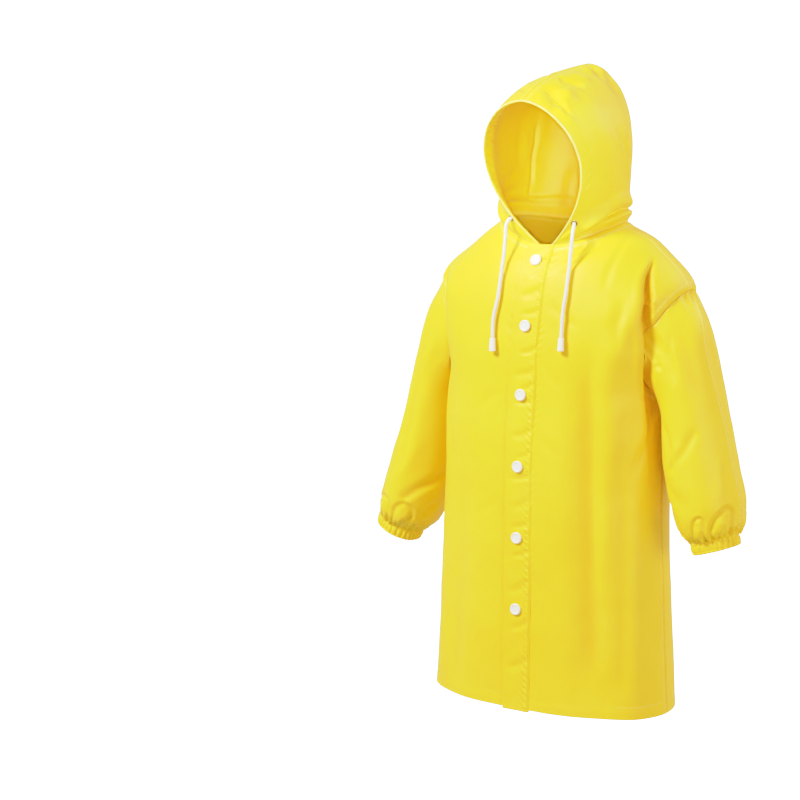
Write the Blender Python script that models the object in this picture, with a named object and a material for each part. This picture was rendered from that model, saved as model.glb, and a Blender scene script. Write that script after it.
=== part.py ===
"""A child's hooded raincoat, snapped shut and filled out as if worn, hollow all through.

Frame: metres, +Z up, origin at the middle of the neck, the front faces -Y and the
wearer's left is +X. Cloth pieces are thin walls, 0.3 mm apart at their seams.
"""

import math

import bmesh
import bpy
import numpy as np
from mathutils import Vector

MM = 0.001

# Driving dimensions, in millimetres.
WALL = 1.6  # cloth wall
GAP = 0.3  # space at every seam and under everything that lies on the cloth
BAND_HALF = 20.0  # front band, half of its width
BAND_SEW = 1.5  # how far the band reaches over the left front's edge
BAND_MIDDLE = 8.0  # a column of points inside the band
BAND_WALL = 1.6
BAND_DROP = 2.5  # the band hangs this much lower than the hem
SNAP_RADIUS = 8.2
SNAP_HEIGHT = 3.2
SNAP_LIFT = 0.25  # the band's curve leaves the flat cap this much further off
SNAP_EDGE = 0.9  # width of the cap's rounded shoulder
SNAP_RIM = 1.3  # width of its raised rim
SNAP_DISH = 0.6  # how deep its centre lies below the rim
EYELET_HOLE = 3.4  # radius
EYELET_RADIUS = 5.2
EYELET_HEIGHT = 1.0
EYELET_LIFT = 0.5  # the hood's curve leaves the flat ring this far off at its middle
EYELET_PLACES = {1: (0.065, 0.088), -1: (0.05, 0.093)}  # shares back and up on the hood halves
CORD_DIAMETER = 5.0
TIP_RADIUS = 4.7
TIP_LENGTH = 18.0
TIP_FLARE = 0.5  # how much wider the tube is at its open end
TIP_MOUTH = 5.0  # depth of the open end
TIP_WALL = 1.6
CUFF_HEIGHT = 16.0
CUFF_WALL = 2.2
CUFF_RIBS = 26
CUFF_RIB_DEPTH = 0.9
POINTS_PER_RIB = 3
CASING_WALL = 1.0
CASING_BACK = 0.10  # share of the hood's depth that the casing covers
CASING_INSET = 0.12  # share of the first rib space left bare at the face edge
CASING_FOOT = 0.5  # share of the first space left bare over the neck seam
HOOD_FRONT_LEFT = 14.0  # where the hood halves start on the neck seam, from the middle
HOOD_FRONT_RIGHT = -4.0
HOOD_FOOT_GAP = 0.4  # the hood's foot stands this far above the neck seam
SLEEVE_PLEATS = 13
PLEAT_DEPTH = 1.9
PLEAT_REACH = 0.30  # share of the sleeve over which the pleats die out

# The torso's level rings, neck seam to hem. A ring is a rounded oval, lower or higher at
# its front, side and back; a larger square gives it fuller corners.
TORSO_COLUMNS = ("half_width", "side_y", "front", "back", "z_front", "z_side", "z_back", "square")
TORSO_ROWS = (
    (92, 10, 56, 72, -24, 4, -4, 2.0),
    (142, 18, 82, 90, -66, -34, -40, 2.1),
    (190, 24, 97, 102, -128, -83, -98, 2.4),
    (182, 16, 104, 102, -170, -150, -156, 2.6),
    (167, 4, 109, 96, -228, -226, -226, 2.5),
    (166, -6, 116, 93, -330, -330, -330, 2.4),
    (173, -11, 118, 96, -490, -490, -490, 2.25),
    (183, -14, 121, 104, -673, -673, -673, 2.15),
)
SHOULDER_TIP = 2  # level of the shoulder tip
UNDERARM = 4  # level of the underarm point
HEM = 7
HEM_TILT = 0.026  # how far the hem drops towards the wearer's left side, of its half width
SHOULDER_LIFT = {1: 11.0, -1: -1.0}  # the left shoulder stands fuller than the right
SHOULDER_LIFT_LEVEL = 0.95
SHOULDER_LIFT_REACH = 0.62
ARMHOLE_FRONT = 0.30  # how deep the armhole cuts into the front, share of the half front
ARMHOLE_BACK = 0.26

# Largest folds of the torso: levels where a fold starts and ends, across values at its
# start, half way and end, and the trough's width and depth (negative depth is a ridge).
# Across counts 0 at the front middle, 1 at the side and 2 at the back middle.
FOLD_FADE_IN = 0.35  # shares of a fold's height over which it deepens and dies out
FOLD_FADE_OUT = 0.3
FOLD_COLUMNS = ("side", "from_level", "to_level", "start", "half_way", "end", "width", "depth")
FOLD_ROWS = (
    (1, 0.95, 4.60, 0.88, 0.67, 0.80, 15.0, 14.0),
    (1, 1.20, 5.20, 0.70, 0.53, 0.64, 18.0, -5.0),
    (-1, 1.30, 4.40, 0.80, 0.70, 0.82, 14.0, 9.0),
    (1, 3.60, 7.60, 0.40, 0.46, 0.50, 26.0, 4.0),
    (1, 4.80, 7.60, 0.72, 0.73, 0.74, 24.0, -3.5),
    (-1, 3.60, 7.60, 0.50, 0.54, 0.56, 28.0, 3.0),
    (1, 1.10, 4.40, 1.18, 1.36, 1.24, 17.0, 10.0),
    (-1, 1.10, 4.40, 1.18, 1.36, 1.24, 17.0, 10.0),
    (1, 3.20, 7.60, 1.62, 1.58, 1.56, 30.0, 5.0),
    (-1, 3.40, 7.60, 1.58, 1.55, 1.54, 30.0, 4.0),
)

# Sleeve rings, armhole to cuff: inner and outer points in the plane across the body, and
# the front and back of the ring. The right arm hangs a little lower and closer.
SLEEVE_COLUMNS = ("inner_x", "inner_z", "outer_x", "outer_z", "front", "back")
SLEEVE_ROWS = {
    1: (
        (166, -226, 190, -83, 45, 80),
        (168, -240, 220, -126, 48, 74),
        (171, -266, 240, -190, 52, 67),
        (173, -308, 260, -254, 56, 60),
        (181, -353, 277, -318, 60, 54),
        (191, -391, 289, -366, 61, 49),
        (204, -416, 290, -393, 56, 40),
        (219, -428, 284, -408, 44, 26),
    ),
    -1: (
        (166, -226, 190, -83, 45, 80),
        (168, -242, 212, -128, 46, 76),
        (171, -272, 228, -196, 48, 72),
        (173, -322, 246, -268, 51, 66),
        (181, -374, 266, -338, 56, 58),
        (193, -420, 283, -391, 60, 51),
        (208, -452, 291, -422, 56, 40),
        (227, -468, 290, -440, 44, 26),
    ),
}
SLEEVE_BLEND = 0.26  # share of the sleeve over which it leaves the armhole's own line
SLEEVE_FLAT_END = 0.9  # share from where its wall turns to end square on the cuff
SLEEVE_MITRE = 0.08  # share over which its wall turns from the torso's direction to its own

# Hood ribs, from the face edge (0) to the back: the share of the neck seam where a rib
# stands, its widest point, and its top on the centre seam.
HOOD_COLUMNS = ("foot", "wide_x", "wide_y", "wide_z", "top_y", "top_z")
HOOD_ROWS = (
    (0.00, 76, -86, 95, -113, 180),
    (0.16, 84, -54, 98, -76, 197),
    (0.36, 92, -14, 100, -30, 208),
    (0.58, 90, 26, 102, 24, 213),
    (0.76, 76, 62, 104, 72, 216),
    (0.90, 46, 90, 98, 99, 190),
    (1.00, 0, 106, 86, 107, 140),
)
HOOD_WAIST = 0.42  # share of a rib below its widest point
HOOD_EASE = 0.35  # how much of a rib's rise to there slows down on its way
HOOD_SAG = 9.0  # how far the hood bulges over the neck seam
HOOD_SAG_HEIGHT = 0.13
HOOD_SAG_REACH = 0.12
HOOD_SAG_START = 0.25  # share back from the face edge where the bulge is full
HOOD_PEAK = 1.12  # 1 is a round crown, more is peaked along the centre seam

# Where the snaps sit on the band: heights of the cap centres.
SNAP_HEIGHTS = (-45, -132, -227, -327, -428, -530)

# The cord ends' routes, out of the eyelets and down the chest, by hand.
CORD_ROUTES = {
    "left": (
        (51.8, -58.0, 10.5),
        (54.6, -63.3, 8.1),
        (56.0, -68.5, 1.0),
        (56.0, -71.5, -12.0),
        (55.8, -74.5, -30.0),
        (56.0, -78.0, -49.0),
        (57.8, -89.0, -81.0),
        (57.8, -97.2, -109.0),
        (59.5, -104.0, -142.6),
    ),
    "right": (
        (-45.8, -60.4, 10.9),
        (-48.2, -65.6, 8.4),
        (-49.5, -70.5, 1.5),
        (-48.8, -73.5, -12.0),
        (-48.4, -78.0, -38.0),
        (-48.3, -85.0, -65.3),
        (-47.5, -94.7, -96.2),
        (-51.0, -101.0, -125.4),
        (-48.8, -106.4, -152.5),
    ),
}

CLOTH_COLOUR = (0.86, 0.74, 0.03)
WHITE = (0.93, 0.91, 0.88)

ACROSS_STEPS = 60  # fineness of the surfaces' own tables
LEVEL_STEPS = 24
SHOULDER_STEPS = 7  # rows and columns of the cloth pieces
ARMHOLE_STEPS = 12
SKIRT_STEPS = 11
SLEEVE_SPANS = ((0.34, 5), (0.76, 2), (1.0, 5))  # up to a share of the length, so many rows
HOOD_SPANS = ((0.12, 3), (1.0, 10))
CASING_RIBS = 3
ROUND_SIDES = 16  # sides of the small turned pieces
HOLE_SIDES = 12
CORD_STEP = 2.4 * CORD_DIAMETER
CORD_RESOLUTION = 2
FRONT_STEPS = 11
BACK_STEPS = 9
PANEL_CROWDING = 1.35  # above 1, a front's columns stand closer near the armhole


def smooth_rows(knots, rows, wanted):
    """A smooth monotone curve through the rows of a table, read at the wanted knots."""
    knots = np.asarray(knots, float)
    rows = np.asarray(rows, float)
    step = np.diff(knots)[:, None]
    slope = np.diff(rows, axis=0) / step
    tangent = np.zeros_like(rows)
    before, after = slope[:-1], slope[1:]
    same_way = before * after > 0
    safe_sum = np.where(same_way, before + after, 1.0)
    tangent[1:-1] = np.where(same_way, 2.0 * before * after / safe_sum, 0.0)
    tangent[0] = slope[0]
    tangent[-1] = slope[-1]
    wanted = np.clip(np.asarray(wanted, float), knots[0], knots[-1])
    k = np.clip(np.searchsorted(knots, wanted, side="right") - 1, 0, len(knots) - 2)
    h = step[k]
    u = ((wanted - knots[k])[:, None]) / h
    start, end = rows[k], rows[k + 1]
    bend_in, bend_out = tangent[k] * h, tangent[k + 1] * h
    return (
        start * (2 * u**3 - 3 * u**2 + 1)
        + bend_in * (u**3 - 2 * u**2 + u)
        + end * (3 * u**2 - 2 * u**3)
        + bend_out * (u**3 - u**2)
    )


def by_name(columns, rows):
    """A table's columns as a dictionary of upright arrays."""
    return {name: rows[:, k : k + 1] for k, name in enumerate(columns)}


def span_rows(start, spans):
    """Values from the start through a list of (end, number of rows)."""
    values = [start]
    for end, count in spans:
        values.extend(np.linspace(values[-1], end, count + 1)[1:])
    return np.array(values)


def even_spacing(points, count):
    """The same curve with count + 1 points at even distances along it."""
    step = np.linalg.norm(np.diff(points, axis=0), axis=1)
    along = np.concatenate(([0.0], np.cumsum(step)))
    wanted = np.linspace(0.0, along[-1], count + 1)
    return np.stack([np.interp(wanted, along, points[:, k]) for k in range(3)], axis=1)


def smooth_step(value):
    """0 below 0, 1 above 1, and an even S between."""
    value = np.clip(value, 0.0, 1.0)
    return value * value * (3.0 - 2.0 * value)


def surface_normals(grid, flip, ring=False):
    """Unit normals of a grid of points, pointing out of the garment."""
    along = np.gradient(grid, axis=0)
    across = np.gradient(grid, axis=1)
    if ring:
        across[:, 0] = across[:, -1] = 0.5 * (grid[:, 1] - grid[:, -2])
    normal = np.cross(across, along)
    normal *= -1.0 if flip else 1.0
    return normal / np.maximum(np.linalg.norm(normal, axis=2, keepdims=True), 1e-9)


def read_grid(grid, row, column):
    """Point of a grid at a fractional row and column."""
    row = np.clip(row, 0.0, grid.shape[0] - 1.000001)
    column = np.clip(column, 0.0, grid.shape[1] - 1.000001)
    i, j = row.astype(int), column.astype(int)
    u, v = (row - i)[..., None], (column - j)[..., None]
    top = grid[i, j] * (1 - v) + grid[i, j + 1] * v
    low = grid[i + 1, j] * (1 - v) + grid[i + 1, j + 1] * v
    return top * (1 - u) + low * u


# ---------------------------------------------------------------- torso


def torso_ring(ring):
    """Half a level ring, front middle to back middle, even along each quarter."""
    quarters = []
    for depth, z_end, start in (
        (-ring["front"], ring["z_front"], 0.0),
        (ring["back"], ring["z_back"], 0.5),
    ):
        angle = np.linspace(start, start + 0.5, 2 * ACROSS_STEPS + 1) * math.pi
        wide = np.abs(np.sin(angle)) ** (2.0 / ring["square"])
        deep = np.abs(np.cos(angle)) ** (2.0 / ring["square"])
        points = np.stack(
            (
                ring["half_width"] * wide,
                ring["side_y"] + (depth - ring["side_y"]) * deep,
                ring["z_side"] + (z_end - ring["z_side"]) * np.cos(angle) ** 2,
            ),
            axis=1,
        )
        quarters.append(even_spacing(points, ACROSS_STEPS))
    return np.concatenate((quarters[0], quarters[1][1:]))


class Torso:
    """The body of the coat as one smooth surface, read by level and by across."""

    def __init__(self):
        levels = np.linspace(0, HEM, HEM * LEVEL_STEPS + 1)
        rows = smooth_rows(range(len(TORSO_ROWS)), TORSO_ROWS, levels)
        half = np.stack([torso_ring(dict(zip(TORSO_COLUMNS, row))) for row in rows])
        self.front_length = np.linalg.norm(
            np.diff(half[:, : ACROSS_STEPS + 1], axis=1), axis=2
        ).sum(axis=1)
        self.points = {}
        self.normals = {}
        for side in (1, -1):
            grid = half * (side, 1, 1)
            rise = np.exp(-(((levels - SHOULDER_LIFT_LEVEL) / SHOULDER_LIFT_REACH) ** 2))
            ridge = np.sin(np.linspace(0, math.pi, grid.shape[1])) ** 2
            grid[..., 2] += SHOULDER_LIFT[side] * rise[:, None] * ridge[None, :]
            normal = surface_normals(grid, side > 0)
            grid = grid - normal * self.fold_depth(side, levels)[..., None]
            tilt = HEM_TILT * smooth_step((levels - UNDERARM) / (HEM - UNDERARM))
            grid[..., 2] -= np.maximum(grid[..., 0], 0.0) * tilt[:, None]
            self.points[side] = grid
            self.normals[side] = surface_normals(grid, side > 0)

    def fold_depth(self, side, levels):
        """How deep the named folds press each point of one half in."""
        across = np.linspace(0, 2, 2 * ACROSS_STEPS + 1)[None, :]
        level = levels[:, None]
        girth = self.front_length[:, None]
        depth = np.zeros((level.size, across.size))
        for row in FOLD_ROWS:
            fold = dict(zip(FOLD_COLUMNS, row))
            if fold["side"] != side:
                continue
            share = (level - fold["from_level"]) / (fold["to_level"] - fold["from_level"])
            path = fold["start"] * (1 - share) * (1 - 2 * share)
            path = path + fold["half_way"] * 4 * share * (1 - share)
            path = path + fold["end"] * share * (2 * share - 1)
            fade = smooth_step(share / FOLD_FADE_IN) * smooth_step((1.0 - share) / FOLD_FADE_OUT)
            away = (across - path) * girth / fold["width"]
            depth += fold["depth"] * fade * np.exp(-(away**2))
        return depth

    def read(self, level, across, out=0.0):
        """Points at a level and across (negative on the wearer's right), moved out."""
        level, across = np.broadcast_arrays(np.asarray(level, float), np.asarray(across, float))
        row = level * LEVEL_STEPS
        column = np.abs(across) * ACROSS_STEPS
        left = (across >= 0)[..., None]
        point = np.where(
            left, read_grid(self.points[1], row, column), read_grid(self.points[-1], row, column)
        )
        normal = np.where(
            left, read_grid(self.normals[1], row, column), read_grid(self.normals[-1], row, column)
        )
        normal = normal / np.linalg.norm(normal, axis=-1, keepdims=True)
        return point + normal * out

    def girth(self, level):
        """Length of the half front at a level."""
        return np.interp(level, np.linspace(0, HEM, len(self.front_length)), self.front_length)

    def level_at(self, height):
        """Level where the front middle has this height."""
        middle = self.points[1][:, 0, 2]
        return float(np.interp(-height, -middle, np.linspace(0, HEM, len(middle))))


def armhole_across(level, back):
    """Across value of the armhole edge at a level, 1 outside the armhole."""
    middle = 0.5 * (SHOULDER_TIP + UNDERARM)
    half = 0.5 * (UNDERARM - SHOULDER_TIP)
    bite = np.sqrt(np.clip(1.0 - ((level - middle) / half) ** 2, 0.0, 1.0))
    return 1.0 + ARMHOLE_BACK * bite if back else 1.0 - ARMHOLE_FRONT * bite


def panel_levels():
    """Levels of a panel's rows: shoulder, armhole (closer at its ends), and skirt."""
    shoulder = np.linspace(0, SHOULDER_TIP, SHOULDER_STEPS + 1)
    turn = np.linspace(0, math.pi, ARMHOLE_STEPS + 1)[1:]
    armhole = 0.5 * (SHOULDER_TIP + UNDERARM) - np.cos(turn) * 0.5 * (UNDERARM - SHOULDER_TIP)
    skirt = np.linspace(UNDERARM, HEM, SKIRT_STEPS + 1)[1:]
    return np.concatenate((shoulder, armhole, skirt))


def seam_in(torso, level):
    """Half a seam gap, as a share of the half front."""
    return 0.5 * GAP / torso.girth(level)


def front_across(torso, level, start):
    """Across values of a front's columns, from a distance off the middle to its edge."""
    inner = start / torso.girth(level)
    outer = armhole_across(level, False) - seam_in(torso, level)
    share = 1.0 - (1.0 - np.linspace(0, 1, FRONT_STEPS + 1)) ** PANEL_CROWDING
    return inner + (outer - inner) * share


def back_across(torso, level):
    """Across values of half the back's columns, from its edge to the back middle."""
    outer = armhole_across(level, True) + seam_in(torso, level)
    return np.linspace(outer, 2.0, BACK_STEPS + 1)


def front_grid(torso, side, levels, out=0.0):
    """Points of one front, from its middle edge to the shoulder, armhole and side seam."""
    rows = []
    for level in levels:
        girth = torso.girth(level)
        if side > 0:
            edge = [(BAND_HALF + 0.5 * GAP) / girth]
            across = np.concatenate((edge, front_across(torso, level, BAND_HALF + BAND_SEW)))
        else:
            under = np.array((0.5 * GAP - BAND_HALF, -BAND_MIDDLE, -HOOD_FRONT_RIGHT)) / girth
            across = -np.concatenate((under, front_across(torso, level, BAND_HALF)))
        rows.append(torso.read(level, across, out))
    return np.stack(rows)


def back_grid(torso, levels, out=0.0):
    """Points of the back, from the wearer's left side round to the right side."""
    rows = []
    for level in levels:
        across = back_across(torso, level)
        left = torso.read(level, across, out)
        right = torso.read(level, -across[:-1], out)[::-1]
        rows.append(np.concatenate((left, right)))
    return np.stack(rows)


def band_grid(torso, levels, out):
    """Points of the front band, moved out from the fronts' own points."""
    offsets = np.array((-BAND_HALF, HOOD_FRONT_RIGHT, BAND_MIDDLE, BAND_HALF, BAND_HALF + BAND_SEW))
    rows = [torso.read(level, offsets / torso.girth(level), out) for level in levels]
    grid = np.stack(rows)
    grid[-1, :, 2] -= BAND_DROP
    return grid


# ---------------------------------------------------------------- sleeves


class Sleeve:
    """One sleeve as a smooth tube, read by share along it and by turn round it."""

    def __init__(self, torso, side, along_steps=96, turn_steps=192):
        share = np.linspace(0, 1, along_steps + 1)
        table = SLEEVE_ROWS[side]
        rows = smooth_rows(np.linspace(0, 1, len(table)), table, share)
        ring = by_name(SLEEVE_COLUMNS, rows)
        turn = np.linspace(0, 2 * math.pi, turn_steps + 1)
        reach_x = 0.5 * (ring["outer_x"] - ring["inner_x"])
        reach_z = 0.5 * (ring["outer_z"] - ring["inner_z"])
        cos, sin = np.cos(turn)[None, :], np.sin(turn)[None, :]
        depth = np.where(sin > 0, -ring["front"], -ring["back"])
        x = ring["inner_x"] + reach_x * (1.0 + cos)
        z = ring["inner_z"] + reach_z * (1.0 + cos)
        grid = np.stack((side * x, depth * sin, z), axis=2)
        level = 0.5 * (SHOULDER_TIP + UNDERARM) - cos[0] * 0.5 * (UNDERARM - SHOULDER_TIP)
        across = np.where(
            sin[0] > 0, 1.0 - ARMHOLE_FRONT * np.abs(sin[0]), 1.0 + ARMHOLE_BACK * np.abs(sin[0])
        )
        armhole = torso.read(level, side * across)
        blend = (1.0 - smooth_step(share / SLEEVE_BLEND))[:, None, None]
        grid = grid + (armhole[None] - grid[0:1]) * blend
        normal = surface_normals(grid, side < 0, ring=True)
        fade = smooth_step((share - 1.0 + PLEAT_REACH) / PLEAT_REACH)[:, None] ** 1.5
        pleat = PLEAT_DEPTH * fade * np.cos(SLEEVE_PLEATS * turn)[None, :]
        axis = np.concatenate((-reach_z, 0 * reach_x, side * reach_x), axis=1)[:, None, :]
        axis = axis / np.linalg.norm(axis, axis=2, keepdims=True)
        level_normal = normal - axis * (normal * axis).sum(axis=2, keepdims=True)
        self.grid = grid + level_normal * pleat[..., None]
        own = surface_normals(self.grid, side < 0, ring=True)
        flat_end = smooth_step((share - SLEEVE_FLAT_END) / (1 - SLEEVE_FLAT_END))[:, None, None]
        own = own - axis * (own * axis).sum(axis=2, keepdims=True) * flat_end
        shared = torso.read(level, side * across, 1.0) - armhole
        agree = smooth_step(2.0 * (own * shared[None]).sum(axis=2, keepdims=True))
        near = 1.0 - smooth_step(share / SLEEVE_MITRE)[:, None, None]
        normal = own + (shared[None] - own) * agree * near
        self.normal = normal / np.linalg.norm(normal, axis=2, keepdims=True)
        self.length = np.linalg.norm(np.diff(self.grid[:, turn_steps // 4], axis=0), axis=1).sum()
        self.girth = np.linalg.norm(np.diff(self.grid[along_steps // 2], axis=0), axis=1).sum()

    def read(self, share, turn, out=0.0):
        """Points at a share along and a turn (0 outside, 0.25 front, 0.5 inside)."""
        share, turn = np.broadcast_arrays(np.asarray(share, float), np.asarray(turn, float))
        row = share * (self.grid.shape[0] - 1)
        column = turn * (self.grid.shape[1] - 1)
        normal = read_grid(self.normal, row, column)
        normal = normal / np.linalg.norm(normal, axis=-1, keepdims=True)
        return read_grid(self.grid, row, column) + normal * out


def sleeve_half_grid(sleeve, back, out=0.0):
    """Points of one half of a sleeve, overarm seam to underarm seam."""
    share = span_rows(GAP / sleeve.length, SLEEVE_SPANS)
    turn = np.linspace(0, 0.5, 2 * ARMHOLE_STEPS + 1)
    seam = 0.5 * GAP / sleeve.girth
    turn[0], turn[-1] = seam, 0.5 - seam
    if back:
        turn = 1.0 - turn
    grid = np.stack([sleeve.read(value, turn, out) for value in share])
    grid[0, 1::2] = 0.5 * (grid[0, :-1:2] + grid[0, 2::2])
    return grid


# ---------------------------------------------------------------- hood


class Hood:
    """One half of the hood as a smooth surface, read by share back and share up."""

    def __init__(self, torso, side, back_steps=72, up_steps=72):
        back = np.linspace(0, 1, back_steps + 1)
        rows = smooth_rows(np.linspace(0, 1, len(HOOD_ROWS)), HOOD_ROWS, back)
        rib = by_name(HOOD_COLUMNS, rows)
        start = (HOOD_FRONT_LEFT if side > 0 else -HOOD_FRONT_RIGHT) / torso.girth(0.0)
        across = start + (2.0 - start) * rib["foot"][:, 0]
        foot = torso.read(0.0, side * across) + (0.0, 0.0, HOOD_FOOT_GAP)
        up = np.linspace(0, 1, up_steps + 1)[None, :]
        low = np.clip(up / HOOD_WAIST, 0, 1)
        quarter = np.clip((up - HOOD_WAIST) / (1 - HOOD_WAIST), 0, 1) * 0.5 * math.pi
        rise = low * (1.0 + HOOD_EASE * (1.0 - low))
        sag = np.exp(-(((low - HOOD_SAG_HEIGHT) / HOOD_SAG_REACH) ** 2))
        sag = HOOD_SAG * sag * smooth_step(low / HOOD_SAG_REACH)
        sag = sag * smooth_step(rib["foot"] / HOOD_SAG_START)
        is_low = up <= HOOD_WAIST
        spread = 1.0 - (1.0 - rise) ** 2
        wide = np.concatenate((side * rib["wide_x"], rib["wide_y"], rib["wide_z"]), axis=1)
        low_part = foot[:, None, :] + (wide - foot)[:, None, :] * np.stack(
            (spread[0], rise[0], rise[0]), axis=1
        )
        cos, sin = np.cos(quarter), np.sin(quarter)
        high_part = np.stack(
            (
                side * rib["wide_x"] * np.abs(cos) ** HOOD_PEAK,
                rib["wide_y"] + (rib["top_y"] - rib["wide_y"]) * sin,
                rib["wide_z"] + (rib["top_z"] - rib["wide_z"]) * sin,
            ),
            axis=2,
        )
        grid = np.where(is_low[..., None], low_part, high_part)
        normal = surface_normals(grid, side > 0)
        self.side = side
        self.back = back
        self.foot_across = across
        self.grid = grid + normal * sag[..., None]
        self.normal = surface_normals(self.grid, side > 0)

    def read(self, back, up, out=0.0):
        """Points at a share back and a share up from the neck seam."""
        back, up = np.broadcast_arrays(np.asarray(back, float), np.asarray(up, float))
        row = back * (self.grid.shape[0] - 1)
        column = up * (self.grid.shape[1] - 1)
        normal = read_grid(self.normal, row, column)
        normal = normal / np.linalg.norm(normal, axis=-1, keepdims=True)
        return read_grid(self.grid, row, column) + normal * out


def hood_ribs(torso, hood):
    """Shares back of the hood's ribs: the casing's, then those on the torso's columns."""
    start = BAND_HALF + BAND_SEW if hood.side > 0 else BAND_HALF
    across = np.concatenate((front_across(torso, 0.0, start), back_across(torso, 0.0)[1:]))
    shares = np.interp(across, hood.foot_across, hood.back)
    casing = np.linspace(0.0, CASING_BACK, CASING_RIBS)
    closest = 0.4 * CASING_BACK / (CASING_RIBS - 1)
    return np.concatenate((casing, shares[shares > CASING_BACK + closest]))


def hood_grid(torso, hood, out=0.0):
    """Points of one hood half, face edge to back, up to its centre seam."""
    ups = span_rows(0.0, HOOD_SPANS)
    grid = np.stack([hood.read(value, ups, out) for value in hood_ribs(torso, hood)])
    grid[..., 0] = hood.side * np.maximum(hood.side * grid[..., 0], 0.5 * GAP)
    return grid


def casing_grid(torso, hoods, out):
    """Points of the casing, up the wearer's left face edge and down the right."""
    halves = []
    for side in (1, -1):
        half = hood_grid(torso, hoods[side], out)[:CASING_RIBS].swapaxes(0, 1)
        half[0] += (half[1] - half[0]) * CASING_FOOT
        half[:, 0] += (half[:, 1] - half[:, 0]) * CASING_INSET
        halves.append(half)
    top = halves[0][-1:] * (0, 1, 1)
    return np.concatenate((halves[0][:-1], top, halves[1][:-1][::-1]))


# ---------------------------------------------------------------- solids


def make_material(name, colour, roughness, metallic=0.0):
    """A plain Principled material."""
    material = bpy.data.materials.new(name)
    material.use_nodes = True
    shader = material.node_tree.nodes["Principled BSDF"]
    shader.inputs["Base Color"].default_value = (*colour, 1.0)
    shader.inputs["Roughness"].default_value = roughness
    shader.inputs["Metallic"].default_value = metallic
    return material


def add_solid(name, points, faces, material, sharp=40.0):
    """A closed mesh object from points in millimetres."""
    mesh = bpy.data.meshes.new(name)
    mesh.from_pydata([Vector(point) * MM for point in points], [], faces)
    work = bmesh.new()
    work.from_mesh(mesh)
    bmesh.ops.recalc_face_normals(work, faces=work.faces)
    work.to_mesh(mesh)
    work.free()
    mesh.materials.append(material)
    mesh.shade_smooth()
    mesh.set_sharp_from_angle(angle=math.radians(sharp))
    solid = bpy.data.objects.new(name, mesh)
    bpy.context.scene.collection.objects.link(solid)
    return solid


def add_wall(name, outer, inner, material, ring=False):
    """A cloth wall between two grids of the same shape; a ring joins its two sides."""
    rows, columns = outer.shape[:2]
    points = np.concatenate((outer.reshape(-1, 3), inner.reshape(-1, 3)))
    size = rows * columns
    last = columns if ring else columns - 1
    faces = []
    for i in range(rows - 1):
        for j in range(last):
            k = (j + 1) % columns
            a, b = i * columns + j, i * columns + k
            c, d = (i + 1) * columns + k, (i + 1) * columns + j
            faces.append((a, b, c, d))
            faces.append((size + d, size + c, size + b, size + a))
    for j in range(last):
        k = (j + 1) % columns
        low = (rows - 1) * columns
        faces.append((j, size + j, size + k, k))
        faces.append((low + k, size + low + k, size + low + j, low + j))
    if not ring:
        for i in range(rows - 1):
            a, d = i * columns, (i + 1) * columns
            faces.append((a, d, size + d, size + a))
            b, c = a + columns - 1, d + columns - 1
            faces.append((b, size + b, size + c, c))
    return add_solid(name, points, faces, material)


def frame_at(origin, axis):
    """Matrix with its Z along the axis and its origin at the point."""
    matrix = Vector(axis).to_track_quat("Z", "Y").to_matrix().to_4x4()
    matrix.translation = Vector(origin)
    return matrix


def add_turned(name, profile, origin, axis, material, sides, ring=False):
    """A solid turned from (radius, height) pairs, upright on the axis at the origin."""
    place = frame_at(origin, axis)
    points = []
    rows = []
    for radius, height in profile:
        if radius == 0:
            rows.append([len(points)] * sides)
            points.append(tuple(place @ Vector((0, 0, height))))
            continue
        rows.append([len(points) + k for k in range(sides)])
        for k in range(sides):
            angle = 2 * math.pi * k / sides
            spot = Vector((radius * math.cos(angle), radius * math.sin(angle), height))
            points.append(tuple(place @ spot))
    pairs = list(zip(rows[:-1], rows[1:]))
    if ring:
        pairs.append((rows[-1], rows[0]))
    faces = []
    for low, high in pairs:
        for k in range(sides):
            m = (k + 1) % sides
            corners = dict.fromkeys((low[k], low[m], high[m], high[k]))
            faces.append(tuple(corners))
    return add_solid(name, points, faces, material, sharp=50.0)


def torso_pieces(torso, cloth):
    """Fronts, back and front band."""
    levels = panel_levels()
    for name, side in (("front_left", 1), ("front_right", -1)):
        outer = front_grid(torso, side, levels)
        add_wall(name, outer, front_grid(torso, side, levels, -WALL), cloth)
    add_wall("back", back_grid(torso, levels), back_grid(torso, levels, -WALL), cloth)
    top = band_grid(torso, levels, GAP + BAND_WALL)
    add_wall("placket", top, band_grid(torso, levels, GAP), cloth)


def sleeve_pieces(torso, cloth):
    """Both sleeves, each in a front and a back half."""
    for word, side in (("left", 1), ("right", -1)):
        sleeve = Sleeve(torso, side)
        for half, back in (("front", False), ("back", True)):
            outer = sleeve_half_grid(sleeve, back)
            inner = sleeve_half_grid(sleeve, back, -WALL)
            add_wall(f"sleeve_{word}_{half}", outer, inner, cloth)


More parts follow.
